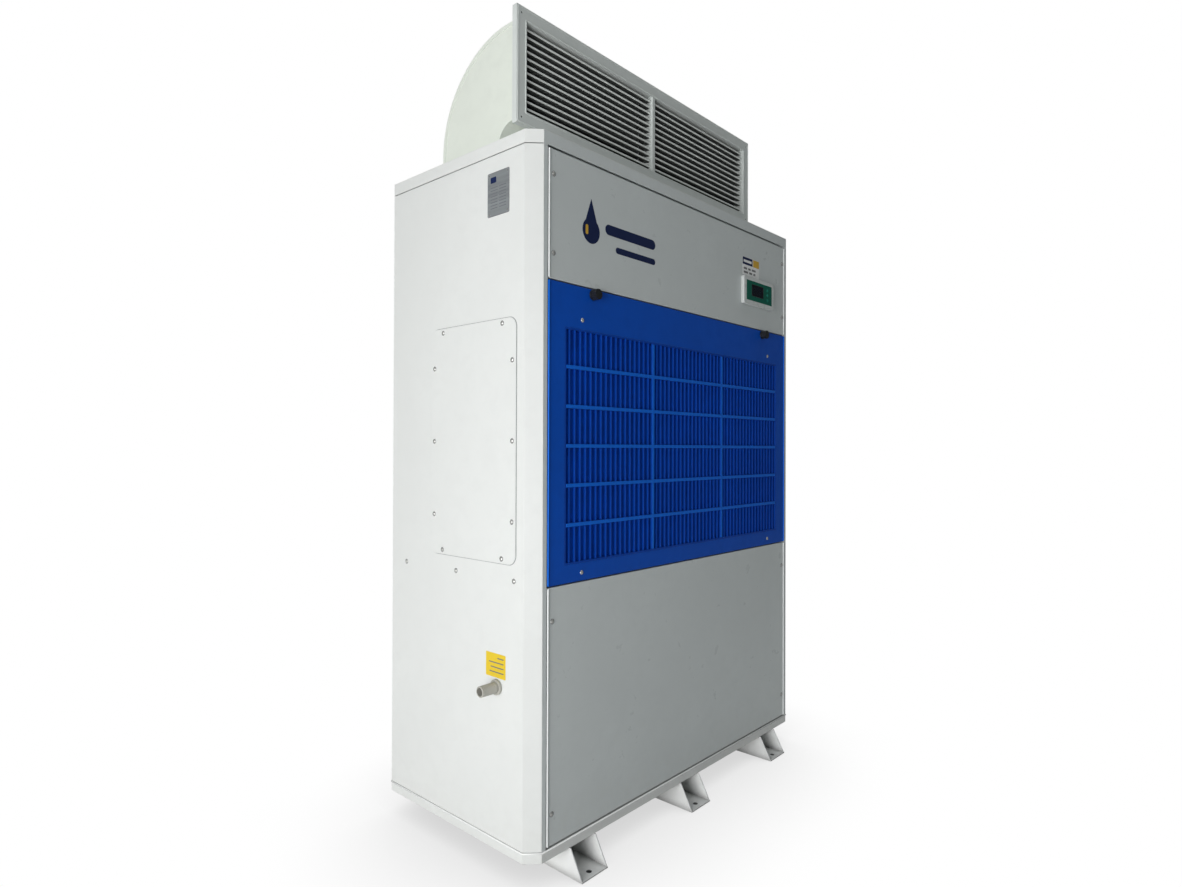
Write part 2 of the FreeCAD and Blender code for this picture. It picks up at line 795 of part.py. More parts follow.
def screw(position, outward, reach):
    """Dome-headed screw: the head stands outward of position and the shank goes in."""
    head_radius = dim("screw_head_radius")
    head_rise = dim("screw_head_rise")
    dome_radius = (head_radius ** 2 + head_rise ** 2) / (2 * head_rise)
    dome = Part.makeSphere(dome_radius, position.add(
        Vector(outward).multiply(head_rise - dome_radius)), outward)
    slice_above = Part.makeCylinder(dome_radius * 1.1, head_rise * 1.1, position, outward)
    shank = Part.makeCylinder(dim("screw_shank_radius"), reach, position,
                              Vector(outward).multiply(-1))
    return dome.common(slice_above).fuse(shank).removeSplitter()


def panel_screws():
    """Every screw that holds a cabinet panel."""
    solids = []
    forwards = Vector(0, -1, 0)
    leftwards = Vector(-1, 0, 0)
    long_reach = dim("door_screw_reach")
    reach = dim("screw_reach")
    for across, up in door_screw_centres(UPPER_SCREWS + LOWER_SCREWS):
        solids.append(screw(Vector(size(across), 0, size(up)), forwards, long_reach))
    for across, up in rear_screw_centres():
        rear = Vector(size(across), dim("cabinet_depth"), size(up))
        solids.append(screw(rear, ALONG_Y, long_reach))
    for across, up in cover_screw_centres():
        on_cover = Vector(-dim("cover_sheet"), size(across), size(up))
        solids.append(screw(on_cover, leftwards, reach))
    for across, up in rivet_centres():
        on_left = Vector(0, size(across), size(up))
        on_right = Vector(dim("cabinet_width"), size(across), size(up))
        solids.append(screw(on_left, leftwards, reach))
        solids.append(screw(on_right, ALONG_X, reach))
    new_feature("panel_screws", Part.makeCompound(solids))


# ---------------------------------------------------------------- filter panel

def thumbscrew_centres():
    """The two thumbscrews just under the filter panel's top edge."""
    level = "Dims.filter_high - Dims.thumbscrew_drop"
    return [("Dims.thumbscrew_inset", level), (from_right("Dims.thumbscrew_inset"), level)]


def grille_screw_centres():
    """Four screws near the corners of the filter panel that hold the grille insert."""
    return [(across, up)
            for up in ("Dims.grille_low - 23", "Dims.grille_low + Dims.grille_rise + 22")
            for across in ("160", from_right("160"))]


def filter_panel():
    """Tilting panel with a window for the inlet grille, on two hinge pins at its bottom edge."""
    body = new_body("filter_panel")
    door_tray(body, "Dims.filter_low", "Dims.filter_high")
    window = front_sketch(body)
    rectangle(window, "Dims.grille_left", "Dims.grille_low",
              "Dims.grille_left + Dims.grille_width", "Dims.grille_low + Dims.grille_rise")
    pocket(body, window, "Dims.door_sheet")
    front_holes(body, grille_screw_centres(), "Dims.screw_hole_radius", "0", "Dims.door_sheet")
    front_holes(body, thumbscrew_centres(), "Dims.thumbscrew_hole", "0", "Dims.door_fold")
    pin_ends = ("Dims.door_side_gap - Dims.hinge_pin_length", from_right("Dims.door_side_gap"))
    for start in pin_ends:
        pin = side_sketch(body, start)
        circle(pin, "Dims.hinge_back", "Dims.filter_low + Dims.hinge_up", "Dims.hinge_pin_radius")
        pad(body, pin, "Dims.hinge_pin_length")


def inlet_grille():
    """Plastic insert behind the window: border, ribs in columns and rows, and upright fins."""
    body = new_body("inlet_grille")
    left = "Dims.grille_left"
    low = "Dims.grille_low"
    right = "(Dims.grille_left + Dims.grille_width)"
    high = "(Dims.grille_low + Dims.grille_rise)"
    border = "Dims.grille_border"
    rib = "Dims.grille_rib"
    depth = "Dims.grille_depth"
    skin = "Dims.door_sheet"
    front_ring(body, "(%s - %s)" % (left, border), "(%s - %s)" % (low, border),
               "(%s + %s)" % (right, border), "(%s + %s)" % (high, border),
               "(%s + 1)" % border, skin, "2")
    front_holes(body, grille_screw_centres(), "Dims.screw_hole_radius", skin, "2")
    front_ring(body, "(%s + 0.2)" % left, "(%s + 0.2)" % low, "(%s - 0.2)" % right,
               "(%s - 0.2)" % high, "%s / 2" % rib, "0", depth)
    columns = int(dim("grille_columns"))
    rows = int(dim("grille_rows"))
    for column in range(1, columns):
        middle = "(%s + Dims.grille_width * %d / Dims.grille_columns)" % (left, column)
        front_plate(body, "%s - %s / 2" % (middle, rib), low, "%s + %s / 2" % (middle, rib), high,
                    "0.3", "%s - 0.3" % depth)
    for row in range(1, rows):
        middle = "(%s + Dims.grille_rise * %d / Dims.grille_rows)" % (low, row)
        front_plate(body, left, "%s - %s / 2" % (middle, rib), right, "%s + %s / 2" % (middle, rib),
                    "0.3", "%s - 0.3" % depth)
    fin_count = "Dims.grille_columns * Dims.fins_per_column"
    pitch = "Dims.grille_width / (%s)" % fin_count
    fin = front_plate(body, "%s + %s - Dims.grille_fin / 2" % (left, pitch), low,
                      "%s + %s + Dims.grille_fin / 2" % (left, pitch), high,
                      "Dims.fin_setback", "%s - Dims.fin_setback" % depth)
    fins = body.newObject("PartDesign::LinearPattern", "inlet_grille_fins")
    fins.Originals = [fin]
    across = [item for item in body.Origin.OriginFeatures if item.Role == "X_Axis"][0]
    fins.Direction = (across, [""])
    fins.setExpression("Length", "Dims.grille_width - 2 * (%s)" % pitch)
    fins.setExpression("Occurrences", "%s - 1" % fin_count)
    body.Tip = fins


def air_filter():
    """Washable filter behind the grille: a channel frame round a flat medium."""
    body = new_body("air_filter")
    gap = "2"
    left = "(Dims.grille_left - %s)" % gap
    low = "(Dims.grille_low - %s)" % gap
    right = "(Dims.grille_left + Dims.grille_width + %s)" % gap
    high = "(Dims.grille_low + Dims.grille_rise + %s)" % gap
    start = "(Dims.grille_depth + 1)"
    front_ring(body, left, low, right, high, "18", start, "Dims.filter_thickness")
    front_plate(body, left, low, right, high, "%s + Dims.filter_thickness / 2 - 1.5" % start, "3")


def grille_screws():
    """Four small screws that hold the grille insert in the filter panel."""
    solids = [screw(Vector(size(across), 0, size(up)), Vector(0, -1, 0), dim("screw_reach"))
              for across, up in grille_screw_centres()]
    new_feature("grille_screws", Part.makeCompound(solids))


def thumbscrew(label, centre):
    """Fluted knob on a plain shank that reaches through the panel and the cross rail."""
    body = new_body(label, x=centre[0], z=centre[1])
    gap = "0.5"
    knob = front_sketch(body, "-Dims.knob_rise")
    circle(knob, "0", "0", "Dims.knob_radius")
    pad(body, knob, "Dims.knob_rise - %s" % gap, backwards=True)
    flute = front_sketch(body, "-Dims.knob_rise")
    circle(flute, "0", "Dims.knob_radius + 1.2", "2.6")
    cut = pocket(body, flute, "Dims.knob_rise - 5")
    flutes = body.newObject("PartDesign::PolarPattern", label + "_flutes")
    flutes.Originals = [cut]
    axis = [item for item in body.Origin.OriginFeatures if item.Role == "Y_Axis"][0]
    flutes.Axis = (axis, [""])
    flutes.Angle = 360
    flutes.Occurrences = 12
    body.Tip = flutes
    shank = front_sketch(body, "-%s" % gap)
    circle(shank, "0", "0", "Dims.thumbscrew_shank")
    pad(body, shank, "Dims.thumbscrew_reach + %s" % gap, backwards=True)


# ---------------------------------------------------------------- controller

def button_heights():
    """Heights of the three keys on the controller."""
    return ["Dims.button_low + %d * Dims.button_pitch" % number for number in range(3)]


def controller_housing():
    """Raised surround on the upper panel with a seat for the face and wells for the keys."""
    body = new_body("controller_housing")
    sketch = front_sketch(body, "-Dims.controller_proud")
    rounded_rectangle(sketch, "Dims.controller_left", "Dims.controller_low",
                      "(Dims.controller_left + Dims.controller_width)",
                      "(Dims.controller_low + Dims.controller_rise)", "Dims.controller_radius")
    block = pad(body, sketch, "Dims.controller_proud", backwards=True)

    def on_front_rim(edge):
        return edge.BoundBox.YMax < -dim("controller_proud") + 0.01

    fillet_edges(body, block, "1.5", on_front_rim)
    seat = front_sketch(body, "-Dims.controller_proud")
    rectangle(seat, "Dims.face_left", "Dims.face_low", "Dims.face_left + Dims.face_width",
              "Dims.face_low + Dims.face_rise")
    pocket(body, seat, "Dims.face_sheet")
    wells = [("Dims.button_left", height) for height in button_heights()]
    front_holes(body, wells, "Dims.button_radius + Dims.button_gap",
                "Dims.face_sheet - Dims.controller_proud", "4")


def controller_face():
    """Coloured face plate with a window for the display and holes for the keys."""
    body = new_body("controller_face")
    front = "-Dims.controller_proud"
    sketch = front_sketch(body, front)
    rectangle(sketch, "Dims.face_left", "Dims.face_low", "Dims.face_left + Dims.face_width",
              "Dims.face_low + Dims.face_rise")
    rectangle(sketch, "Dims.display_left", "Dims.display_low",
              "Dims.display_left + Dims.display_width", "Dims.display_low + Dims.display_rise")
    for height in button_heights():
        circle(sketch, "Dims.button_left", height, "Dims.button_radius + Dims.button_gap")
    pad(body, sketch, "Dims.face_sheet", backwards=True)


def controller_display():
    """Dark display window in the face plate."""
    body = new_body("controller_display")
    front_plate(body, "Dims.display_left", "Dims.display_low",
                "Dims.display_left + Dims.display_width", "Dims.display_low + Dims.display_rise",
                "0.4 - Dims.controller_proud", "Dims.face_sheet - 0.4")


def button(number, height):
    """One round key; its stem has room to travel in the well behind it."""
    body = new_body("button_%d" % number, x="Dims.button_left", z=height)
    front = "-(Dims.controller_proud + Dims.button_proud)"
    sketch = front_sketch(body, front)
    circle(sketch, "0", "0", "Dims.button_radius")
    key = pad(body, sketch, "Dims.button_proud + Dims.face_sheet + 2", backwards=True)

    def on_front(edge):
        return edge.BoundBox.YMax < size(front) + 0.01

    fillet_edges(body, key, "0.6", on_front)


# ---------------------------------------------------------------- side fittings

def revolve_about_x(profile):
    """Turn a closed outline of (x, radius) points about the x axis."""
    points = [Vector(x, 0, radius) for x, radius in profile]
    wire = Part.makePolygon(points + [points[0]])
    return Part.Face(wire).revolve(Vector(0, 0, 0), ALONG_X, 360)


def drain_spout():
    """Hollow condensate spout with a shoulder outside the panel and raised thread rings."""
    reach = dim("spout_reach")
    radius = dim("spout_radius")
    bore = dim("spout_bore")
    ring_pitch = 4
    ring_rise = 0.8
    profile = [(18, bore), (-reach, bore), (-reach, radius - 1.5), (1.5 - reach, radius)]
    rings = int((reach - 16) / ring_pitch)
    for ring in range(rings):
        start = 2 + ring * ring_pitch - reach
        profile.append((start, radius))
        profile.append((start + 0.4 * ring_pitch, radius - ring_rise))
        profile.append((start + 0.8 * ring_pitch, radius - ring_rise))
    profile += [(2 + rings * ring_pitch - reach, radius), (-6, radius), (-6, radius + 5),
                (0, radius + 5), (0, radius - 1), (18, radius - 1)]
    new_feature("drain_spout", revolve_about_x(profile), y="Dims.spout_front", z="Dims.spout_level")


def cable_gland():
    """Gland for the supply cable low on the right side: hexagon, dome nut and open bore."""
    reach = dim("gland_reach")
    radius = dim("gland_radius")
    bore = dim("gland_bore")
    profile = [(-12, bore), (-12, radius - 4), (0, radius - 4), (0, radius), (reach * 0.75, radius),
               (reach, radius * 0.72), (reach, bore)]
    turned = revolve_about_x(profile)
    across_corners = (radius + 2.5) / math.cos(math.pi / 6)
    corners = [Vector(0, across_corners * math.cos(step * math.pi / 3),
                      across_corners * math.sin(step * math.pi / 3)) for step in range(7)]
    flats = Part.Face(Part.makePolygon(corners)).extrude(Vector(7, 0, 0))
    bore_cut = Part.makeCylinder(bore, 40, Vector(-15, 0, 0), ALONG_X)
    new_feature("cable_gland", turned.fuse(flats).cut(bore_cut).removeSplitter(),
                x="Dims.cabinet_width", y="Dims.gland_front", z="Dims.gland_level")


# ---------------------------------------------------------------- discharge elbow and grille

def discharge_elbow():
    """Sheet-metal bend from the cap's opening round to the front, open at both ends."""
    body = new_body("discharge_elbow", z="Dims.cabinet_rise")
    bend_centre = "(Dims.duct_rear - Dims.bend_radius)"
    throat_centre = "(Dims.throat_rear - Dims.throat_radius)"

    def section(sheet_in, front, base):
        """Side outline, drawn smaller by the sheet thickness for the hollow."""
        rear = "(Dims.duct_rear - %s)" % sheet_in
        bend = "(Dims.bend_radius - %s)" % sheet_in
        throat = "(Dims.throat_radius + %s)" % sheet_in
        return [
            (rear, base),
            (rear, "Dims.bend_level", bend, 1),
            (bend_centre, "Dims.bend_level + %s" % bend),
            (front, "Dims.bend_level + %s" % bend),
            (front, "Dims.throat_level + %s" % throat),
            (throat_centre, "Dims.throat_level + %s" % throat, throat, -1),
            ("%s + %s" % (throat_centre, throat), "Dims.throat_level"),
            ("%s + %s" % (throat_centre, throat), base),
        ]

    outside = side_sketch(body, "Dims.duct_inset")
    outline(outside, section("0", "Dims.duct_front", "0"))
    pad(body, outside, "Dims.cabinet_width - 2 * Dims.duct_inset")
    inside = side_sketch(body, "Dims.duct_inset + Dims.duct_sheet")
    outline(inside, section("Dims.duct_sheet", "Dims.duct_front - 5", "-5"))
    pocket(body, inside, "Dims.cabinet_width - 2 * Dims.duct_inset - 2 * Dims.duct_sheet",
           backwards=True)


LOUVRE_PITCH = "((Dims.frame_height - 2 * Dims.frame_border) / (Dims.louvre_count + 0.5))"
FIRST_LOUVRE = "(Dims.frame_low + Dims.frame_border + 0.75 * %s)" % LOUVRE_PITCH


def louvre_height(number):
    """Height of one row's spindle above the cap, rows counted from the bottom."""
    return "(%s + %d * %s)" % (FIRST_LOUVRE, number, LOUVRE_PITCH)


def grille_frame():
    """Flanged frame on the elbow's mouth, with a neck, a mullion and spindle holes."""
    body = new_body("grille_frame", z="Dims.cabinet_rise")
    left = "Dims.frame_left"
    low = "Dims.frame_low"
    right = "(Dims.cabinet_width - Dims.frame_left)"
    high = "(Dims.frame_low + Dims.frame_height)"
    border = "Dims.frame_border"
    front = "Dims.grille_front"
    plate = "Dims.frame_plate"
    front_ring(body, left, low, right, high, border, front, plate)
    front_ring(body, left, low, right, high, plate, front, "Dims.frame_fold")
    inset = "(%s - %s)" % (border, plate)
    front_ring(body, "(%s + %s)" % (left, inset), "(%s + %s)" % (low, inset),
               "(%s - %s)" % (right, inset), "(%s - %s)" % (high, inset), plate,
               front, "Dims.neck_depth")
    middle = "Dims.cabinet_width / 2"
    front_plate(body, "%s - Dims.mullion_width / 2" % middle, "%s + %s" % (low, inset),
                "%s + Dims.mullion_width / 2" % middle, "%s - %s" % (high, inset),
                "%s + 1" % front, "Dims.neck_depth - 1")
    spindles = [("Dims.grille_front + Dims.louvre_setback", louvre_height(number))
                for number in range(int(dim("louvre_count")))]
    side_holes(body, spindles, "Dims.spindle_hole", "%s + %s" % (left, inset),
               "Dims.cabinet_width - 2 * (%s + %s)" % (left, inset))
    corner_inset = "%s / 2" % border
    screw_holes = [(across, up)
                   for across in ("%s + %s" % (left, corner_inset), "%s - %s" % (right, corner_inset))
                   for up in ("%s + %s" % (low, corner_inset), "%s - %s" % (high, corner_inset))]
    front_holes(body, screw_holes, "2.6", front, plate)


def louvre_row(number):
    """Two blades on one spindle, notched for the tie bar, with a crank pin across the notch."""
    label = "louvre_row_%02d" % (number + 1)
    body = new_body(label, y="Dims.grille_front + Dims.louvre_setback",
                    z="Dims.cabinet_rise + %s" % louvre_height(number))
    opening = "(Dims.frame_left + Dims.frame_border)"
    middle = "Dims.cabinet_width / 2"
    half = "Dims.louvre_chord / 2"
    thick = "Dims.louvre_thick / 2"
    gap = "Dims.louvre_end_gap"
    spans = [
        ("%s + %s" % (opening, gap), "%s - Dims.mullion_width / 2 - %s" % (middle, gap)),
        ("%s + Dims.mullion_width / 2 + %s" % (middle, gap),
         "Dims.cabinet_width - %s - %s" % (opening, gap)),
    ]
    for start, end in spans:
        blade = side_sketch(body, start)
        outline(blade, [
            ("-(%s)" % half, "-0.35"),
            ("-(%s) * 0.55" % half, "-(%s)" % thick),
            ("%s * 0.55" % half, "-(%s)" % thick),
            (half, "-0.35"),
            (half, "0.35"),
            ("%s * 0.55" % half, thick),
            ("-(%s) * 0.55" % half, thick),
            ("-(%s)" % half, "0.35"),
        ])
        pad(body, blade, "%s - (%s)" % (end, start))
    notch = side_sketch(body, "%s - Dims.tie_offset - Dims.tie_notch / 2" % middle)
    rectangle(notch, "3.1", "-4", "%s + 1" % half, "4")
    pocket(body, notch, "Dims.tie_notch", backwards=True)
    spindle = side_sketch(body, "%s - Dims.frame_plate" % opening)
    circle(spindle, "0", "0", "Dims.spindle_radius")
    pad(body, spindle, "Dims.cabinet_width - 2 * (%s - Dims.frame_plate)" % opening)
    pin = side_sketch(body, "%s - Dims.tie_offset - Dims.tie_notch / 2 - 2" % middle)
    circle(pin, "Dims.crank_radius", "0", "Dims.crank_pin")
    pad(body, pin, "Dims.tie_notch + 4")


def louvre_tie_bar():
    """Flat strip that joins the crank pins so that all rows turn together."""
    body = new_body("louvre_tie_bar", y="Dims.grille_front + Dims.louvre_setback",
                    z="Dims.cabinet_rise + %s" % FIRST_LOUVRE)
    sketch = side_sketch(body, "Dims.cabinet_width / 2 - Dims.tie_offset - Dims.tie_sheet / 2")
    front = "(Dims.crank_radius - Dims.tie_width / 2)"
    rear = "(Dims.crank_radius + Dims.tie_width / 2)"
    rectangle(sketch, front, "-5", rear, "(Dims.louvre_count - 1) * %s + 5" % LOUVRE_PITCH)
    for number in range(int(dim("louvre_count"))):
        circle(sketch, "Dims.crank_radius", "%d * %s" % (number, LOUVRE_PITCH), "Dims.crank_hole")
    pad(body, sketch, "Dims.tie_sheet")


# ---------------------------------------------------------------- fans

def scroll_outline(sheet_in, top):
    """Side outline of a blower casing round the fan shaft, open upwards."""
    back = "Dims.fan_centre_back"
    up = "Dims.fan_centre_up"
    radius = "(Dims.scroll_radius - %s)" % sheet_in
    return [
        ("%s + %s" % (back, radius), top),
        ("%s - %s / 2" % (back, radius), top),
        ("%s - %s / 2" % (back, radius), "%s + %s * 0.86603" % (up, radius), radius, 1),
        ("%s - %s" % (back, radius), up, radius, 1),
        (back, "%s - %s" % (up, radius), radius, 1),
        ("%s + %s" % (back, radius), up),
    ]


def fan_housing(label, left):
    """Blower casing: a hollow scroll with a round inlet in each side and an open top."""
    body = new_body(label, x=left)
    top = "Dims.cabinet_rise - Dims.panel_sheet - 3"
    outside = side_sketch(body)
    outline(outside, scroll_outline("0", top))
    pad(body, outside, "Dims.scroll_width")
    inside = side_sketch(body, "Dims.duct_sheet")
    outline(inside, scroll_outline("Dims.duct_sheet", "%s + 5" % top))
    pocket(body, inside, "Dims.scroll_width - 2 * Dims.duct_sheet", backwards=True)
    side_holes(body, [("Dims.fan_centre_back", "Dims.fan_centre_up")], "Dims.scroll_inlet",
               "0", "Dims.scroll_width")


def fan_impeller(label, left):
    """Forward-curved wheel: hub and centre disc, two rims and a ring of blades between them."""
    body = new_body(label, x="%s + (Dims.scroll_width - Dims.impeller_width) / 2" % left,
                    y="Dims.fan_centre_back", z="Dims.fan_centre_up")
    outer = "Dims.impeller_radius"
    inner = "(Dims.impeller_radius - Dims.impeller_ring)"
    bore = "Dims.fan_shaft_radius"
    disc = side_sketch(body, "Dims.impeller_width / 2 - 1.5")
    circle(disc, "0", "0", outer)
    circle(disc, "0", "0", bore)
    pad(body, disc, "3")
    hub = side_sketch(body, "Dims.impeller_width / 2 - 30")
    circle(hub, "0", "0", "24")
    circle(hub, "0", "0", bore)
    pad(body, hub, "60")
    blade = side_sketch(body)
    rectangle(blade, "%s + 1" % inner, "-1.25", "%s - 0.5" % outer, "1.25")
    first = pad(body, blade, "Dims.impeller_width")
    blades = body.newObject("PartDesign::PolarPattern", label + "_blades")
    blades.Originals = [first]
    axis = [item for item in body.Origin.OriginFeatures if item.Role == "X_Axis"][0]
    blades.Axis = (axis, [""])
    blades.Angle = 360
    blades.setExpression("Occurrences", "Dims.impeller_blades")
    body.Tip = blades
    for x in ("0", "Dims.impeller_width - 3"):
        rim = side_sketch(body, x)
        circle(rim, "0", "0", outer)
        circle(rim, "0", "0", inner)
        pad(body, rim, "3")


def fan_shaft():
    """Shaft through the motor and both impellers."""
    body = new_body("fan_shaft", y="Dims.fan_centre_back", z="Dims.fan_centre_up")
    start = "(Dims.scroll_left + 20)"
    sketch = side_sketch(body, start)
    circle(sketch, "0", "0", "Dims.fan_shaft_radius")
    pad(body, sketch, "Dims.cabinet_width - 2 * %s" % start)


def fan_motor():
    """Motor between the casings, on a foot that stands on the deck."""
    body = new_body("fan_motor", x="(Dims.cabinet_width - Dims.motor_length) / 2",
                    y="Dims.fan_centre_back")
    deck_top = "(Dims.deck_level + Dims.frame_sheet)"
    slab(body, ("20", "-Dims.motor_radius + 10", deck_top),
         ("Dims.motor_length - 20", "Dims.motor_radius - 10", "%s + 40" % deck_top))
    barrel = side_sketch(body)
    circle(barrel, "0", "Dims.fan_centre_up", "Dims.motor_radius")
    pad(body, barrel, "Dims.motor_length")
    slab(body, ("60", "-25", "%s + 40" % deck_top),
         ("Dims.motor_length - 60", "25", "Dims.fan_centre_up - Dims.motor_radius + 5"))
    side_holes(body, [("0", "Dims.fan_centre_up")], "Dims.fan_shaft_hole", "0",
               "Dims.motor_length")


def fan_deck():
    """Deck that carries the blowers, open between them for the air to rise."""
    body = new_body("fan_deck", z="Dims.deck_level")
    sketch = level_sketch(body)
    rectangle(sketch, "Dims.post_inset + Dims.post_face + 2", "62",
              from_right("Dims.post_inset + Dims.post_face + 2"), "528")
    for start in ("70", from_right("Dims.scroll_left - 10"), "Dims.scroll_left + Dims.scroll_width + 8"):
        rectangle(sketch, start, "220", "%s + 30" % start, "480")
    rectangle(sketch, from_right("Dims.scroll_left + Dims.scroll_width + 38"), "220",
              from_right("Dims.scroll_left + Dims.scroll_width + 8"), "480")
    pad(body, sketch, "Dims.frame_sheet")


# ---------------------------------------------------------------- refrigeration

def compressor():
    """Hermetic compressor: welded shell with rounded ends on a square foot plate."""
    body = new_body("compressor", x="Dims.compressor_left", y="Dims.compressor_back",
                    z="Dims.tray_sheet + Dims.mount_rise")
    barrel = level_sketch(body, "Dims.compressor_plate / 2")
    circle(barrel, "0", "0", "Dims.compressor_radius")
    shell = pad(body, barrel, "Dims.compressor_rise")

    def on_either_end(edge):
        return edge.BoundBox.ZLength < 0.01

    fillet_edges(body, shell, "Dims.compressor_dome", on_either_end)
    spread = "(Dims.mount_spread + 24)"
    slab(body, ("-%s" % spread, "-%s" % spread, "0"), (spread, spread, "Dims.compressor_plate"))


def compressor_mounts():
    """Four rubber mounts between the tray and the compressor's foot plate."""
    solids = []
    for side in (-1, 1):
        for end in (-1, 1):
            spot = Vector(side * dim("mount_spread"), end * dim("mount_spread"), dim("tray_sheet"))
            solids.append(Part.makeCone(dim("mount_radius"), dim("mount_radius") * 0.8,
                                        dim("mount_rise"), spot, ALONG_Z))
    new_feature("compressor_mounts", Part.makeCompound(solids),
                x="Dims.compressor_left", y="Dims.compressor_back")


def coil(label, front, depth):
    """Finned coil: fins on a middle sheet, two end plates that stand in the pan, return bends."""
    body = new_body(label)
    left = "Dims.coil_left"
    right = "(Dims.coil_left + Dims.coil_width)"
    low = "Dims.coil_low"
    high = "(Dims.coil_low + Dims.coil_rise)"
    rear = "(%s + %s)" % (front, depth)
    middle = "(%s + %s / 2)" % (front, depth)
    slab(body, (left, "%s - Dims.coil_fin_sheet / 2" % middle, low),
         (right, "%s + Dims.coil_fin_sheet / 2" % middle, high))
    fin = slab(body, ("%s + Dims.coil_fin_pitch" % left, "%s + 2" % front, low),
               ("%s + Dims.coil_fin_pitch + Dims.coil_fin_sheet" % left, "%s - 2" % rear, high))
    fins = body.newObject("PartDesign::LinearPattern", label + "_fins")
    fins.Originals = [fin]
    across = [item for item in body.Origin.OriginFeatures if item.Role == "X_Axis"][0]
    fins.Direction = (across, [""])
    fins.setExpression("Length", "Dims.coil_width - 2 * Dims.coil_fin_pitch")
    fins.setExpression("Occurrences", "Dims.coil_width / Dims.coil_fin_pitch - 1")
    body.Tip = fins
    pan_floor = "Dims.shelf_level + Dims.panel_sheet"
    for x in (left, "%s - 2" % right):
        slab(body, (x, front, pan_floor), ("%s + 2" % x, rear, "%s + 4" % high))
    bends = 12
    for number in range(bends):
        bend = side_sketch(body, "%s - 12" % left)
        height = "(%s + Dims.coil_rise * %g)" % (low, (number + 0.5) / bends)
        rounded_rectangle(bend, "%s - 18" % middle, "%s - 5" % height, "(%s + 18)" % middle,
                          "(%s + 5)" % height, "4.9")
        pad(body, bend, "12")


def drain_pan():
    """Shallow pan under both coils that catches the condensate."""
    body = new_body("drain_pan", z="Dims.shelf_level")
    floor = level_sketch(body)
    rectangle(floor, "Dims.pan_left", "Dims.pan_front", "Dims.pan_right", "Dims.pan_rear")
    circle(floor, "Dims.pan_left + 24", "Dims.spout_front", "Dims.drain_radius - 2")
    pad(body, floor, "Dims.panel_sheet")
    wall = level_sketch(body)
    rectangle(wall, "Dims.pan_left", "Dims.pan_front", "Dims.pan_right", "Dims.pan_rear")
    rectangle(wall, "Dims.pan_left + Dims.panel_sheet", "Dims.pan_front + Dims.panel_sheet",
              "Dims.pan_right - Dims.panel_sheet", "Dims.pan_rear - Dims.panel_sheet")
    pad(body, wall, "Dims.pan_rise")


def bent_tube(points, radius, bend):
    """Round tube along straight runs whose corners are arcs of one bend radius."""
    edges = []
    start = points[0]
    for corner, following in zip(points[1:-1], points[2:]):
        into = corner.sub(start).normalize()
        out = following.sub(corner).normalize()
        trim = bend * math.tan(into.getAngle(out) / 2)
        arc_start = corner.sub(Vector(into).multiply(trim))
        arc_end = corner.add(Vector(out).multiply(trim))
        inward = Vector(out).sub(into).normalize()
        drop = bend / math.cos(into.getAngle(out) / 2) - bend
        arc_middle = corner.add(inward.multiply(drop))
        edges.append(Part.LineSegment(start, arc_start).toShape())
        edges.append(Part.Arc(arc_start, arc_middle, arc_end).toShape())
        start = arc_end
    edges.append(Part.LineSegment(start, points[-1]).toShape())
    path = Part.Wire(edges)
    section = Part.Wire(Part.makeCircle(radius, points[0], points[1].sub(points[0])))
    return path.makePipeShell([section], True, False)


def drain_pipe():
    """Pipe from the pan's outlet down to the back of the spout."""
    x = dim("pan_left") + 24
    y = dim("spout_front")
    level = dim("spout_level")
    points = [Vector(x, y, dim("shelf_level")), Vector(x, y, level), Vector(18, y, level)]
    new_feature("drain_pipe", bent_tube(points, dim("drain_radius"), 25))


# Heights of the ports on the coils' right-hand ends, and of the short parts in the liquid line.
SUCTION_PORT = 1280
HOT_PORT = 1220
LIQUID_PORT = 830
DRIER_TOP = 800
DRIER_LENGTH = 110
VALVE_LOW = 690
VALVE_LENGTH = 60
LIQUID_LOW = 668
COMPRESSOR_INLET = 200


def port_depths():
    """Depths of the pipe runs: suction, evaporator feed, liquid and hot gas."""
    suction = dim("evaporator_front") + 15
    feed = dim("evaporator_front") + 60
    liquid = dim("condenser_front") + 30
    return suction, feed, liquid


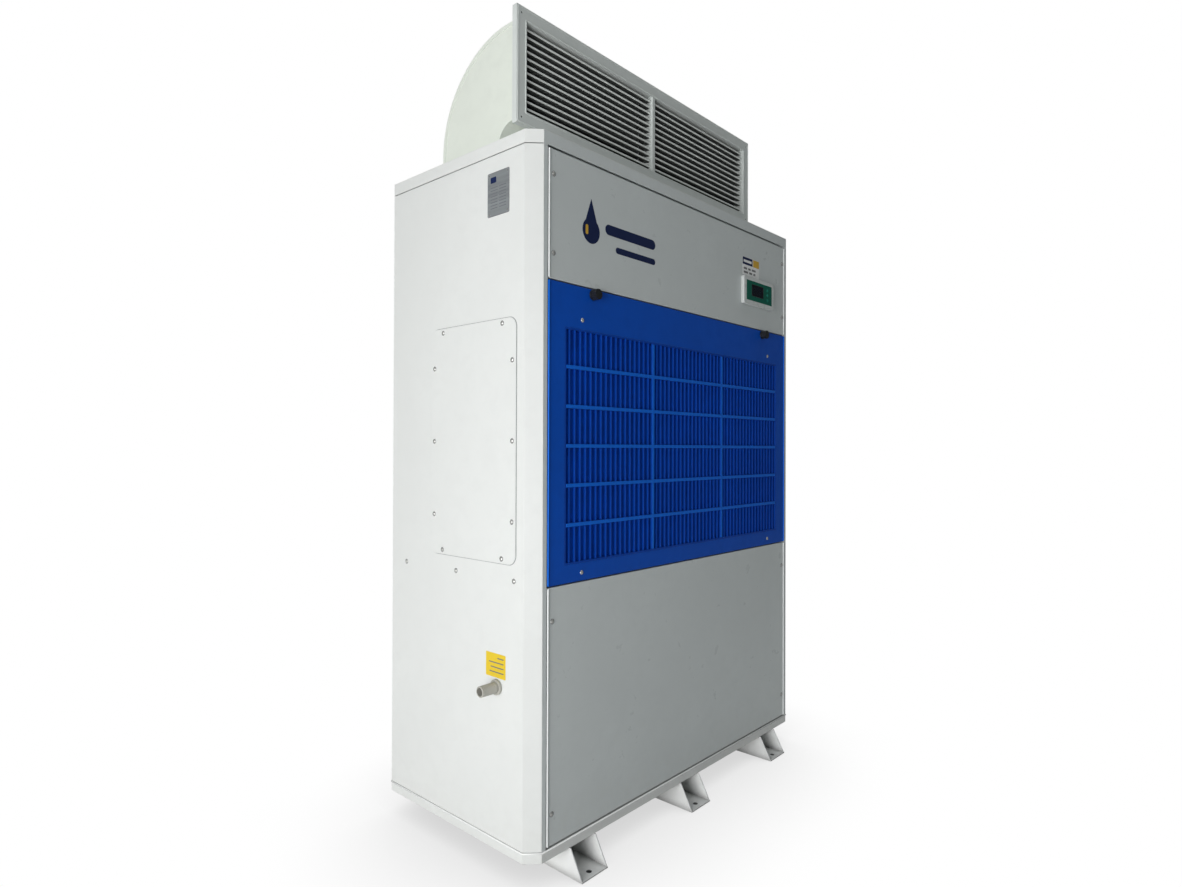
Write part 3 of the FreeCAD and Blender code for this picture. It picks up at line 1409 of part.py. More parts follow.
def refrigerant_pipes():
    """Copper runs between the compressor, the coils, the drier and the valve."""
    riser = dim("riser_left")
    coil_end = dim("coil_left") + dim("coil_width")
    centre_x = dim("compressor_left")
    centre_y = dim("compressor_back")
    shell_top = size("Dims.tray_sheet + Dims.mount_rise + Dims.compressor_plate / 2"
                     " + Dims.compressor_rise")
    shell_side = centre_x + dim("compressor_radius")
    suction, feed, liquid = port_depths()
    hot_riser = dim("hot_riser_left")
    behind = centre_y + 45
    hot_gas = bent_tube([
        Vector(centre_x, centre_y, shell_top),
        Vector(centre_x, centre_y, shell_top + 55),
        Vector(centre_x, behind, shell_top + 55),
        Vector(hot_riser, behind, shell_top + 55),
        Vector(hot_riser, behind, HOT_PORT),
        Vector(hot_riser, liquid, HOT_PORT),
        Vector(coil_end, liquid, HOT_PORT)], 8, 17)
    suction_line = bent_tube([
        Vector(coil_end, suction, SUCTION_PORT),
        Vector(riser, suction, SUCTION_PORT),
        Vector(riser, centre_y, SUCTION_PORT),
        Vector(riser, centre_y, COMPRESSOR_INLET),
        Vector(shell_side, centre_y, COMPRESSOR_INLET)], 9, 18)
    liquid_out = bent_tube([
        Vector(coil_end, liquid, LIQUID_PORT),
        Vector(riser, liquid, LIQUID_PORT),
        Vector(riser, liquid, DRIER_TOP)], 5, 14)
    liquid_across = bent_tube([
        Vector(riser, liquid, DRIER_TOP - DRIER_LENGTH),
        Vector(riser, liquid, LIQUID_LOW),
        Vector(riser, feed, LIQUID_LOW),
        Vector(riser, feed, VALVE_LOW)], 5, 14)
    feed_in = bent_tube([
        Vector(riser, feed, VALVE_LOW + VALVE_LENGTH),
        Vector(riser, feed, LIQUID_PORT),
        Vector(coil_end, feed, LIQUID_PORT)], 5, 14)
    new_feature("refrigerant_pipes", Part.makeCompound(
        [hot_gas, suction_line, liquid_out, liquid_across, feed_in]))


def filter_drier():
    """Drier in the liquid line: a capsule with tapered ends."""
    _, _, liquid = port_depths()
    spot = Vector(dim("riser_left"), liquid, DRIER_TOP - DRIER_LENGTH)
    taper = 15
    barrel = Part.makeCylinder(19, DRIER_LENGTH - 2 * taper, spot.add(Vector(0, 0, taper)), ALONG_Z)
    low_end = Part.makeCone(8, 19, taper, spot, ALONG_Z)
    high_end = Part.makeCone(19, 8, taper, spot.add(Vector(0, 0, DRIER_LENGTH - taper)), ALONG_Z)
    new_feature("filter_drier", barrel.fuse([low_end, high_end]).removeSplitter())


def expansion_valve():
    """Thermostatic valve in the evaporator feed: brass body with a round power head."""
    _, feed, _ = port_depths()
    spot = Vector(dim("riser_left"), feed, VALVE_LOW)
    stem = Part.makeCylinder(11, VALVE_LENGTH, spot, ALONG_Z)
    neck = Part.makeCylinder(7, 24, spot.add(Vector(0, 0, VALVE_LENGTH / 2)), ALONG_X)
    head = Part.makeCylinder(17, 9, spot.add(Vector(24, 0, VALVE_LENGTH / 2)), ALONG_X)
    new_feature("expansion_valve", stem.fuse([neck, head]).removeSplitter())


def electrical_box():
    """Control box behind the upper panel, on the deck: a case with a lid that overlaps it."""
    body = new_body("electrical_box", x="860", y="66", z="Dims.deck_level + Dims.frame_sheet")
    slab(body, ("3", "3", "0"), ("237", "85", "237"))
    slab(body, ("0", "0", "0"), ("240", "14", "240"))


def build_all():
    """Make every node."""
    base_frame()
    foot("foot_left", "-Dims.foot_spacing")
    foot("foot_middle", "0")
    foot("foot_right", "Dims.foot_spacing")
    cabinet_frame()
    side_panel("left_side_panel", mirrored=False)
    side_panel("right_side_panel", mirrored=True)
    rear_panel()
    top_cover()
    upper_front_panel()
    lower_front_panel()
    service_cover()
    panel_screws()
    nameplate()
    drain_spout()
    cable_gland()
    discharge_elbow()
    grille_frame()
    controller_housing()
    controller_face()
    controller_display()
    for number, height in enumerate(button_heights(), start=1):
        button(number, height)
    filter_panel()
    inlet_grille()
    air_filter()
    grille_screws()
    left_centre, right_centre = thumbscrew_centres()
    thumbscrew("thumbscrew_left", left_centre)
    thumbscrew("thumbscrew_right", right_centre)
    for number in range(int(dim("louvre_count"))):
        louvre_row(number)
    louvre_tie_bar()
    right_scroll = from_right("Dims.scroll_left + Dims.scroll_width")
    fan_housing("fan_housing_left", "Dims.scroll_left")
    fan_housing("fan_housing_right", right_scroll)
    fan_impeller("fan_impeller_left", "Dims.scroll_left")
    fan_impeller("fan_impeller_right", right_scroll)
    fan_shaft()
    fan_motor()
    fan_deck()
    compressor()
    compressor_mounts()
    coil("evaporator_coil", "Dims.evaporator_front", "Dims.evaporator_depth")
    coil("condenser_coil", "Dims.condenser_front", "Dims.condenser_depth")
    drain_pan()
    drain_pipe()
    refrigerant_pipes()
    filter_drier()
    expansion_valve()
    electrical_box()


def check_document():
    """Stop if anything failed to build."""
    failed = [item.Name for item in doc.Objects
              if "Invalid" in item.State or "Error" in item.State]
    for part in nodes:
        if part.Shape.isNull() or not part.Shape.isValid() or not part.Shape.Solids:
            failed.append(part.Label)
    if failed:
        raise RuntimeError("failed to build: " + ", ".join(failed))


build_all()
doc.recompute()
check_document()
os.makedirs("parts", exist_ok=True)
for part in nodes:
    part.Shape.exportStep("parts/%s.step" % part.Label)
print("%d nodes" % len(nodes))
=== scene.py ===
"""Ducted floor-standing dehumidifier: materials, printed and formed details, light and camera."""
import math

import bpy
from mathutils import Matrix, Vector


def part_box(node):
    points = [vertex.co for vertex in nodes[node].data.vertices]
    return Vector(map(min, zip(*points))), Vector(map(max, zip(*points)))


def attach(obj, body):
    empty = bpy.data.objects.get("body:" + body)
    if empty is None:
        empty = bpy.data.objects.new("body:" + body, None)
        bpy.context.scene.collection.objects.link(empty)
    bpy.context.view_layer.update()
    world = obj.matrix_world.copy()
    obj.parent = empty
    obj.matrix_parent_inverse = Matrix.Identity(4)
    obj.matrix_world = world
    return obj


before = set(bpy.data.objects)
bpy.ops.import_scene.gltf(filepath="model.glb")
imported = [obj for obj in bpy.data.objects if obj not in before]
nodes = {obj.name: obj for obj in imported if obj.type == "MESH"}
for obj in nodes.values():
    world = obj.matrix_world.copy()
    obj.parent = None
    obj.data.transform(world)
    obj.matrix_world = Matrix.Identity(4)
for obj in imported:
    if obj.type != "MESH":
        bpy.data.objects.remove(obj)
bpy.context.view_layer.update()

MM = 0.001
CABINET = "cabinet"
DOOR = "filter_door"

# The datum of the drawings: the cabinet's left face, its front plane and the tray's underside.
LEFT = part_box("left_side_panel")[0][0]
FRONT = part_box("upper_front_panel")[0][1]
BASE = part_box("base_frame")[0][2]
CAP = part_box("top_cover")[1][2]
# How far the controller's face stands in front of the panels, in millimetres.
FACE_OUT = (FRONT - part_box("controller_face")[0][1]) / MM

# Sizes in millimetres from the datum; a rectangle is (left, low, right, high).
WIDTH, DEPTH, CAP_LEVEL = 1220.0, 590.0, 1660.0
CHAMFER_LEG = 31.0
# How much a chamfer's leg grows for each millimetre that the plan is moved outwards.
CHAMFER_GROWTH = 0.5858
STICKER = (899, 1487, 1003, 1545)
DRAIN_LABEL = (90, 400, 160, 456)
NAMEPLATE = (84, 1484, 159, 1586)
NAMEPLATE_SKIN = 0.8
DISPLAY = (939, 1424, 1011, 1460)
KEY_ACROSS, KEY_LOW, KEY_PITCH = 1040, 1423, 16.5
INLET_WINDOW = (100.0, 663.0, 1120.0, 1221.0)
INLET_ROWS, INLET_COLUMNS = 6, 3
HOOD_FRAME = (63, 1728, 1157, 2016)
HOOD_FRONT = 130
LOUVRE_ROWS = 12
LOUVRE_SPANS = (("left", 97.5, 603.0), ("right", 617.0, 1122.5))
ELBOW_REAR, ELBOW_RADIUS, ELBOW_FRONT = 450.5, 264.5, 134.0
ELBOW_SPRING = 70
THROAT_CENTRE, THROAT_RADIUS = (171, 1700), 55
COVER_FRONT, COVER_LOW, COVER_DEPTH, COVER_RISE = 56, 668, 324, 570
ROLL_SIDES = (("left", 47.5), ("right", 1172.5))
POSTS = ((50, 64), (1156, 1170))
OPENINGS = ((40, 590), (645, 1290), (1350, 1610))
FEET = ("foot_left", "foot_middle", "foot_right")

# Printed layers are this thick.
INK = 0.25


# ---------------------------------------------------------------- node helpers

def new_node(tree, kind, inputs=None, **settings):
    """Add a shader node; an input given as a socket is linked, any other value is set."""
    made = tree.nodes.new(kind)
    for key, value in settings.items():
        setattr(made, key, value)
    for key, value in (inputs or {}).items():
        if isinstance(value, bpy.types.NodeSocket):
            tree.links.new(value, made.inputs[key])
        else:
            made.inputs[key].default_value = value
    return made


def noise(tree, place, scale, detail=3.0, roughness=0.55, distortion=0.0):
    """Fractal noise between about 0.3 and 0.7."""
    made = new_node(tree, "ShaderNodeTexNoise", {
        "Vector": place, "Scale": scale, "Detail": detail, "Roughness": roughness,
        "Distortion": distortion})
    return made.outputs["Fac"]


def remap(tree, value, low, high, to_low, to_high):
    """A value moved from one range to another and held inside it."""
    made = new_node(tree, "ShaderNodeMapRange", {
        "Value": value, "From Min": low, "From Max": high, "To Min": to_low, "To Max": to_high})
    return made.outputs["Result"]


def tint(tree, factor, first, second):
    """A blend from one colour to another."""
    made = new_node(tree, "ShaderNodeMix", data_type="RGBA")
    for socket, value in zip(("Factor_Float", "A_Color", "B_Color"), (factor, first, second)):
        target = next(item for item in made.inputs if item.identifier == socket)
        if isinstance(value, bpy.types.NodeSocket):
            tree.links.new(value, target)
        else:
            target.default_value = value
    return next(item for item in made.outputs if item.identifier == "Result_Color")


def combine(tree, operation, first, second):
    """One arithmetic step."""
    made = new_node(tree, "ShaderNodeMath", {0: first, 1: second}, operation=operation)
    return made.outputs["Value"]


def shade(color, factor):
    """A colour made darker or lighter, with its alpha."""
    return tuple(min(1.0, channel * factor) for channel in color[:3]) + (1.0,)


PATCH_SCALE = 3.1
SMUDGE_SCALE = 23.0
CHIP_SCALE = 160.0
DUST_SCALE = 40.0
DUST_RISE = 0.22
DUST_COLOR = (0.46, 0.42, 0.35, 1.0)
# How much lighter edges are made: partly wear, partly a painted highlight.
WORN_AND_HIGHLIT_SHADE = 1.35
COAT_ROUGHNESS = 0.12


def worn_and_highlit_edges(tree, place, rounded):
    """A mask that is strong and broken up where the softened normal leaves the flat one."""
    flat = tree.nodes.new("ShaderNodeNewGeometry").outputs["Normal"]
    alike = new_node(tree, "ShaderNodeVectorMath", {0: rounded, 1: flat},
                     operation="DOT_PRODUCT").outputs["Value"]
    near_edge = remap(tree, alike, 0.80, 0.99, 1.0, 0.0)
    broken = remap(tree, noise(tree, place, CHIP_SCALE, 4.0), 0.42, 0.62, 0.15, 1.0)
    return combine(tree, "MULTIPLY", near_edge, broken)


def low_dust(tree, place):
    """A mask that fades upwards from the floor and is scattered in specks."""
    height = new_node(tree, "ShaderNodeSeparateXYZ", {0: place}).outputs["Z"]
    low_down = remap(tree, height, 0.0, DUST_RISE, 1.0, 0.0)
    scatter = remap(tree, noise(tree, place, DUST_SCALE, 6.0), 0.35, 0.65, 0.2, 1.0)
    return combine(tree, "MULTIPLY", low_down, scatter)


def relief(tree, place, along, grain, dents, weave):
    """The bumps of a finish as pairs of a height and its distance in metres."""
    heights = []
    if dents:
        heights.append((noise(tree, place, dents[0], 2.0), dents[1]))
    if grain:
        heights.append((noise(tree, along, grain[0], 3.0), grain[1]))
    for band in ("X", "Z") if weave else ():
        wave = new_node(tree, "ShaderNodeTexWave", {
            "Vector": place, "Scale": weave[0], "Distortion": 0.4, "Detail": 1.0},
            bands_direction=band)
        heights.append((wave.outputs["Fac"], weave[1]))
    return heights


def surface(name, color, rough, metallic=0.0, spread=0.05, rough_spread=0.08, grain=None,
            dents=None, stretch=(1, 1, 1), edge=0.0, edge_wear_and_highlight=0.0, dust=0.0, coat=0.0, weave=None,
            specular=0.5, painted_shade=0.0, painted_shade_reach=0.012, painted_shade_tone=0.45):
    """A finish with patchy colour and gloss, surface grain, softened edges that are worn and carry
    a painted highlight, painted shade in crevices, and dust.
    """
    mat = bpy.data.materials.new(name)
    mat.use_nodes = True
    tree = mat.node_tree
    bsdf = tree.nodes["Principled BSDF"]
    place = tree.nodes.new("ShaderNodeTexCoord").outputs["Object"]
    along = place
    if stretch != (1, 1, 1):
        mapping = new_node(tree, "ShaderNodeMapping", {"Vector": place, "Scale": stretch})
        along = mapping.outputs["Vector"]

    dull = shade(color, 1.0 - spread)
    patches = noise(tree, along, PATCH_SCALE, 4.0)
    smudges = noise(tree, along, SMUDGE_SCALE, 5.0, 0.6, 0.4)
    base = tint(tree, remap(tree, patches, 0.3, 0.7, 0.0, 1.0), dull, shade(color, 1.0 + spread))
    base = tint(tree, remap(tree, smudges, 0.45, 0.75, 0.0, 1.0), base, dull)
    gloss = remap(tree, smudges, 0.3, 0.7, max(0.02, rough - rough_spread), rough + rough_spread)

    normal = None
    if edge:
        normal = new_node(tree, "ShaderNodeBevel", {"Radius": edge}, samples=6).outputs["Normal"]
    if edge_wear_and_highlight:
        mask = combine(tree, "MULTIPLY", worn_and_highlit_edges(tree, place, normal), edge_wear_and_highlight)
        # Edges made lighter: partly wear, partly a painted highlight where the edges catch the
        # light.
        base = tint(tree, mask, base, shade(color, WORN_AND_HIGHLIT_SHADE))
        gloss = combine(tree, "ADD", gloss, combine(tree, "MULTIPLY", mask, 0.15))
    # Painted shade: where ambient occlusion finds a crevice, recess or gap, the colour turns
    # towards a darker copy of itself.
    if painted_shade:
        occlusion = new_node(tree, "ShaderNodeAmbientOcclusion", {"Distance": painted_shade_reach}, samples=6)
        painted_shade_mask = remap(tree, occlusion.outputs["AO"], 0.35, 0.85, painted_shade, 0.0)
        base = tint(tree, painted_shade_mask, base, shade(color, painted_shade_tone))
    if dust:
        mask = combine(tree, "MULTIPLY", low_dust(tree, place), dust)
        base = tint(tree, mask, base, DUST_COLOR)
        gloss = combine(tree, "ADD", gloss, combine(tree, "MULTIPLY", mask, 0.3))

    for value, height in relief(tree, place, along, grain, dents, weave):
        inputs = {"Height": value, "Distance": height, "Strength": 1.0}
        if normal is not None:
            inputs["Normal"] = normal
        normal = new_node(tree, "ShaderNodeBump", inputs).outputs["Normal"]

    tree.links.new(base, bsdf.inputs["Base Color"])
    tree.links.new(gloss, bsdf.inputs["Roughness"])
    if normal is not None:
        tree.links.new(normal, bsdf.inputs["Normal"])
    bsdf.inputs["Metallic"].default_value = metallic
    bsdf.inputs["Specular IOR Level"].default_value = specular
    bsdf.inputs["Coat Weight"].default_value = coat
    bsdf.inputs["Coat Roughness"].default_value = COAT_ROUGHNESS
    return mat


# ---------------------------------------------------------------- finishes

ORANGE_PEEL = (700.0, 0.00004)
SHEET_WAVES = (2.4, 0.0022)

FINISHES = {
    "cabinet_paint": surface(
        "cabinet_paint", (0.84, 0.855, 0.84), 0.36, spread=0.02, grain=ORANGE_PEEL,
        dents=SHEET_WAVES, edge=0.0012, edge_wear_and_highlight=0.5, dust=0.10, painted_shade=0.55),
    # The cabinet's paint made lighter, a painted highlight on the feet's lit faces, with strong
    # painted shade inside the channels.
    "lit_and_shaded_foot_paint": surface(
        "lit_and_shaded_foot_paint", (0.93, 0.94, 0.935), 0.38, spread=0.02, grain=ORANGE_PEEL, edge=0.0012,
        edge_wear_and_highlight=0.5, dust=0.08, painted_shade=0.9, painted_shade_reach=0.03, painted_shade_tone=0.2),
    # The cabinet's paint made darker and cooler: painted shade for the front faces, which face away
    # from the light.
    "shaded_front_paint": surface(
        "shaded_front_paint", (0.72, 0.765, 0.765), 0.34, spread=0.025, grain=ORANGE_PEEL,
        dents=SHEET_WAVES, edge=0.0012, edge_wear_and_highlight=0.5, dust=0.15, painted_shade=0.6),
    "hood_paint": surface(
        "hood_paint", (0.88, 0.925, 0.845), 0.38, spread=0.03, grain=ORANGE_PEEL,
        dents=(4.0, 0.0018), edge=0.0012, edge_wear_and_highlight=0.4, painted_shade=0.4),
    "grille_paint": surface(
        "grille_paint", (0.76, 0.80, 0.78), 0.36, spread=0.03, grain=ORANGE_PEEL,
        edge=0.0010, edge_wear_and_highlight=0.5, painted_shade=0.12),
    # The blades' paint is a darker copy of the noses' paint: painted shade, deepened almost to
    # black between the blades.
    "shaded_blade_paint": surface(
        "shaded_blade_paint", (0.42, 0.45, 0.44), 0.34, spread=0.04, grain=(260.0, 0.00004),
        stretch=(0.1, 1, 1), edge=0.0004, edge_wear_and_highlight=0.2, painted_shade=1.0, painted_shade_reach=0.06,
        painted_shade_tone=0.03),
    # A lighter copy of the blades' paint on their noses: painted highlight.
    "lit_nose_paint": surface(
        "lit_nose_paint", (0.88, 0.91, 0.89), 0.34, spread=0.03, grain=(260.0, 0.00004),
        stretch=(0.1, 1, 1)),
    # Lighter copies of the front, blue and cabinet paints for beads, rolls and rib caps: painted
    # highlights along edges.
    "front_highlight_bead": surface(
        "front_highlight_bead", (0.93, 0.955, 0.955), 0.28, spread=0.02, grain=ORANGE_PEEL, coat=0.3),
    "blue_highlight_bead": surface(
        "blue_highlight_bead", (0.006, 0.16, 0.80), 0.38, spread=0.04, grain=ORANGE_PEEL, specular=0.2),
    "highlight_bead": surface(
        "highlight_bead", (0.97, 0.98, 0.97), 0.25, spread=0.02, grain=ORANGE_PEEL, coat=0.5),
    "blue_paint": surface(
        "blue_paint", (0.003, 0.090, 0.56), 0.36, spread=0.06, grain=ORANGE_PEEL,
        dents=SHEET_WAVES, edge=0.0012, edge_wear_and_highlight=0.35, specular=0.2, painted_shade=0.5),
    "blue_moulding": surface(
        "blue_moulding", (0.002, 0.064, 0.45), 0.45, spread=0.08, grain=(900.0, 0.00003),
        edge=0.0006, edge_wear_and_highlight=0.2, specular=0.2),
    "filter_mesh": surface(
        "filter_mesh", (0.003, 0.080, 0.54), 0.85, spread=0.12, weave=(95.0, 0.0006),
        grain=(1500.0, 0.0001), specular=0.1),
    "zinc_screw": surface(
        "zinc_screw", (0.58, 0.58, 0.56), 0.26, metallic=0.6, spread=0.08,
        grain=(1200.0, 0.00003), edge=0.0004, painted_shade=0.9, painted_shade_reach=0.004,
        painted_shade_tone=0.1),
    "galvanised": surface(
        "galvanised", (0.56, 0.58, 0.60), 0.42, metallic=0.9, spread=0.16, rough_spread=0.14,
        grain=(60.0, 0.00006)),
    "ground_steel": surface(
        "ground_steel", (0.55, 0.55, 0.56), 0.25, metallic=1.0, spread=0.05,
        grain=(1500.0, 0.00002), stretch=(0.05, 1, 1)),
    "rating_plate": surface(
        "rating_plate", (0.36, 0.385, 0.40), 0.34, metallic=0.35, spread=0.45,
        grain=(900.0, 0.00003), stretch=(1, 0.04, 1)),
    "black_moulding": surface(
        "black_moulding", (0.012, 0.013, 0.015), 0.42, spread=0.2, grain=(1500.0, 0.00006),
        edge=0.0005, edge_wear_and_highlight=0.25),
    "white_moulding": surface(
        "white_moulding", (0.74, 0.77, 0.76), 0.30, spread=0.02, grain=(1300.0, 0.00003),
        edge=0.0006, painted_shade=0.4),
    "green_film": surface(
        "green_film", (0.002, 0.135, 0.090), 0.34, spread=0.07, grain=(800.0, 0.00002),
        specular=0.15),
    "display_window": surface(
        "display_window", (0.002, 0.005, 0.013), 0.22, spread=0.2, rough_spread=0.04,
        grain=(300.0, 0.00001), specular=0.12),
    "display_segment": surface(
        "display_segment", (0.008, 0.014, 0.026), 0.30, spread=0.1, grain=(900.0, 0.00001),
        specular=0.12),
    "key_cap": surface(
        "key_cap", (0.020, 0.26, 0.19), 0.42, spread=0.05, grain=(1600.0, 0.00004), edge=0.0004,
        specular=0.2),
    "navy_ink": surface(
        "navy_ink", (0.012, 0.022, 0.085), 0.42, spread=0.08, grain=(700.0, 0.00002),
        specular=0.2),
    "amber_ink": surface(
        "amber_ink", (0.78, 0.47, 0.05), 0.38, spread=0.06, grain=(700.0, 0.00002)),
    "label_field": surface(
        "label_field", (0.97, 0.975, 0.975), 0.42, spread=0.03, grain=(700.0, 0.00002)),
    "label_line": surface(
        "label_line", (0.20, 0.21, 0.23), 0.45, spread=0.1, grain=(700.0, 0.00002)),
    "label_grey": surface(
        "label_grey", (0.20, 0.20, 0.21), 0.45, spread=0.1, grain=(700.0, 0.00002)),
    "yellow_label": surface(
        "yellow_label", (0.86, 0.62, 0.03), 0.40, spread=0.04, grain=(700.0, 0.00002)),
    "black_enamel": surface(
        "black_enamel", (0.012, 0.012, 0.013), 0.24, spread=0.2, grain=ORANGE_PEEL, coat=0.4),
    "motor_enamel": surface(
        "motor_enamel", (0.06, 0.08, 0.11), 0.40, spread=0.12, grain=ORANGE_PEEL, edge=0.001),
    "rubber": surface(
        "rubber", (0.018, 0.018, 0.018), 0.75, spread=0.2, grain=(800.0, 0.0001)),
    "gasket": surface(
        "gasket", (0.30, 0.31, 0.32), 0.70, spread=0.1, grain=(600.0, 0.0001)),
    "foam": surface(
        "foam", (0.016, 0.016, 0.017), 0.92, spread=0.3, grain=(500.0, 0.0004)),
    "fin_stock": surface(
        "fin_stock", (0.62, 0.64, 0.67), 0.35, metallic=1.0, spread=0.10,
        grain=(600.0, 0.0004), stretch=(1.0, 0.05, 0.05)),
    "copper": surface(
        "copper", (0.64, 0.30, 0.17), 0.28, metallic=1.0, spread=0.18,
        grain=(300.0, 0.00004)),
    "brass": surface(
        "brass", (0.70, 0.52, 0.22), 0.28, metallic=1.0, spread=0.10, grain=(500.0, 0.00003)),
    "drain_plastic": surface(
        "drain_plastic", (0.50, 0.49, 0.44), 0.42, spread=0.08, grain=(900.0, 0.00004),
        edge=0.0005, painted_shade=0.5),
}

NODE_FINISHES = {
    "cabinet_paint": ["base_frame", "left_side_panel", "right_side_panel", "rear_panel",
                      "top_cover", "service_cover"],
    "lit_and_shaded_foot_paint": ["foot_left", "foot_middle", "foot_right"],
    "shaded_front_paint": ["cabinet_frame", "upper_front_panel", "lower_front_panel"],
    "hood_paint": ["discharge_elbow"],
    "grille_paint": ["grille_frame"],
    "blue_paint": ["filter_panel"],
    "blue_moulding": ["inlet_grille"],
    "filter_mesh": ["air_filter"],
    "zinc_screw": ["panel_screws", "grille_screws"],
    "galvanised": ["louvre_tie_bar", "fan_housing_left", "fan_housing_right",
                   "fan_impeller_left", "fan_impeller_right", "fan_deck", "drain_pan",
                   "electrical_box"],
    "ground_steel": ["fan_shaft"],
    "rating_plate": ["nameplate"],
    "black_moulding": ["thumbscrew_left", "thumbscrew_right", "cable_gland"],
    "white_moulding": ["controller_housing"],
    "green_film": ["controller_face"],
    "display_window": ["controller_display"],
    "key_cap": ["button_1", "button_2", "button_3"],
    "black_enamel": ["compressor"],
    "motor_enamel": ["fan_motor"],
    "rubber": ["compressor_mounts"],
    "fin_stock": ["evaporator_coil", "condenser_coil"],
    "copper": ["refrigerant_pipes", "filter_drier"],
    "brass": ["expansion_valve"],
    "drain_plastic": ["drain_spout", "drain_pipe"],
}


def finish_nodes():
    """Give every CAD node its finish; the louvre rows, which aren't listed, get the blade paint, a
    darker copy that carries painted shade.
    """
    table = {node: finish for finish, names in NODE_FINISHES.items() for node in names}
    for name, obj in nodes.items():
        finish = FINISHES[table.get(name, "shaded_blade_paint")]
        if obj.material_slots:
            for material_slot in obj.material_slots:
                material_slot.material = finish
        else:
            obj.data.materials.append(finish)


# ---------------------------------------------------------------- mesh helpers

def add_piece(name, vertices, faces, body, finish):
    """A mesh piece that rides on a body."""
    mesh = bpy.data.meshes.new(name)
    mesh.from_pydata(vertices, [], faces)
    mesh.update()
    mesh.materials.append(FINISHES[finish])
    obj = bpy.data.objects.new(name, mesh)
    bpy.context.scene.collection.objects.link(obj)
    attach(obj, body)
    return obj


# Each side of the cabinet as (origin, across, up, outwards).
FRONT_FACE = ((LEFT, FRONT, BASE), (1, 0, 0), (0, 0, 1), (0, -1, 0))
LEFT_FACE = ((LEFT, FRONT, BASE), (0, 1, 0), (0, 0, 1), (-1, 0, 0))


def on_face(face, across, up, out):
    """A point on a side of the cabinet, in metres, from distances in millimetres."""
    origin, along, rise, outwards = face
    return tuple(origin[axis] + MM * (across * along[axis] + up * rise[axis] + out * outwards[axis])
                 for axis in range(3))


def prism(face, outline, low, high, bevel=0.0):
    """Vertices and faces of an outline raised from a face, with a narrow bevel at the top."""
    middle = (sum(p[0] for p in outline) / len(outline), sum(p[1] for p in outline) / len(outline))
    rings = [(0.0, low), (0.0, high - bevel)]
    if bevel:
        rings.append((bevel, high))
    vertices = []
    for inset, out in rings:
        for across, up in outline:
            reach = math.hypot(across - middle[0], up - middle[1]) or 1.0
            shrink = 1.0 - inset / reach
            vertices.append(on_face(face, middle[0] + (across - middle[0]) * shrink,
                                    middle[1] + (up - middle[1]) * shrink, out))
    count = len(outline)
    faces = [tuple(range(count - 1, -1, -1)),
             tuple((len(rings) - 1) * count + step for step in range(count))]
    for ring in range(len(rings) - 1):
        for step in range(count):
            after = (step + 1) % count
            faces.append((ring * count + step, ring * count + after,
                          (ring + 1) * count + after, (ring + 1) * count + step))
    _, along, rise, outwards = face
    turn = (along[1] * rise[2] - along[2] * rise[1], along[2] * rise[0] - along[0] * rise[2],
            along[0] * rise[1] - along[1] * rise[0])
    if sum(a * b for a, b in zip(turn, outwards)) < 0:
        faces = [tuple(reversed(item)) for item in faces]
    return vertices, faces


def rounded_outline(left, low, right, high, radius, steps=5):
    """Corner points of a rectangle with quarter-round corners."""
    if radius <= 0:
        return [(left, low), (right, low), (right, high), (left, high)]
    corners = [(right - radius, low + radius, -90), (right - radius, high - radius, 0),
               (left + radius, high - radius, 90), (left + radius, low + radius, 180)]
    points = []
    for across, up, start in corners:
        for step in range(steps + 1):
            angle = math.radians(start + 90.0 * step / steps)
            points.append((across + radius * math.cos(angle), up + radius * math.sin(angle)))
    return points


def plate(name, face, left, low, right, high, base, top, finish, slot, radius=0.0, bevel=0.0,
          body=CABINET):
    """A thin rectangular piece on a side of the cabinet."""
    vertices, faces = prism(face, rounded_outline(left, low, right, high, radius), base, top, bevel)
    return add_piece(name, vertices, faces, body, finish)


def group(name, parts, body, finish):
    """Several separate outlines raised from a face as one piece."""
    vertices = []
    faces = []
    for face, outline, low, high, bevel in parts:
        start = len(vertices)
        more_vertices, more_faces = prism(face, outline, low, high, bevel)
        vertices += more_vertices
        faces += [tuple(start + index for index in item) for item in more_faces]
    return add_piece(name, vertices, faces, body, finish)


def bead(name, points, radius, finish, body=CABINET, closed=True):
    """A half-sunk round bead along a path of points in metres."""
    curve = bpy.data.curves.new(name, "CURVE")
    curve.dimensions = "3D"
    curve.bevel_depth = radius * MM
    curve.bevel_resolution = 3
    curve.use_fill_caps = not closed
    spline = curve.splines.new("POLY")
    spline.points.add(len(points) - 1)
    for point, target in zip(points, spline.points):
        target.co = (*point, 1.0)
    spline.use_cyclic_u = closed
    obj = bpy.data.objects.new(name, curve)
    curve.materials.append(FINISHES[finish])
    bpy.context.scene.collection.objects.link(obj)
    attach(obj, body)
    return obj


def circle_outline(across, up, radius, count=20):
    """Points round a circle."""
    return [(across + radius * math.cos(2 * math.pi * step / count),
             up + radius * math.sin(2 * math.pi * step / count)) for step in range(count)]


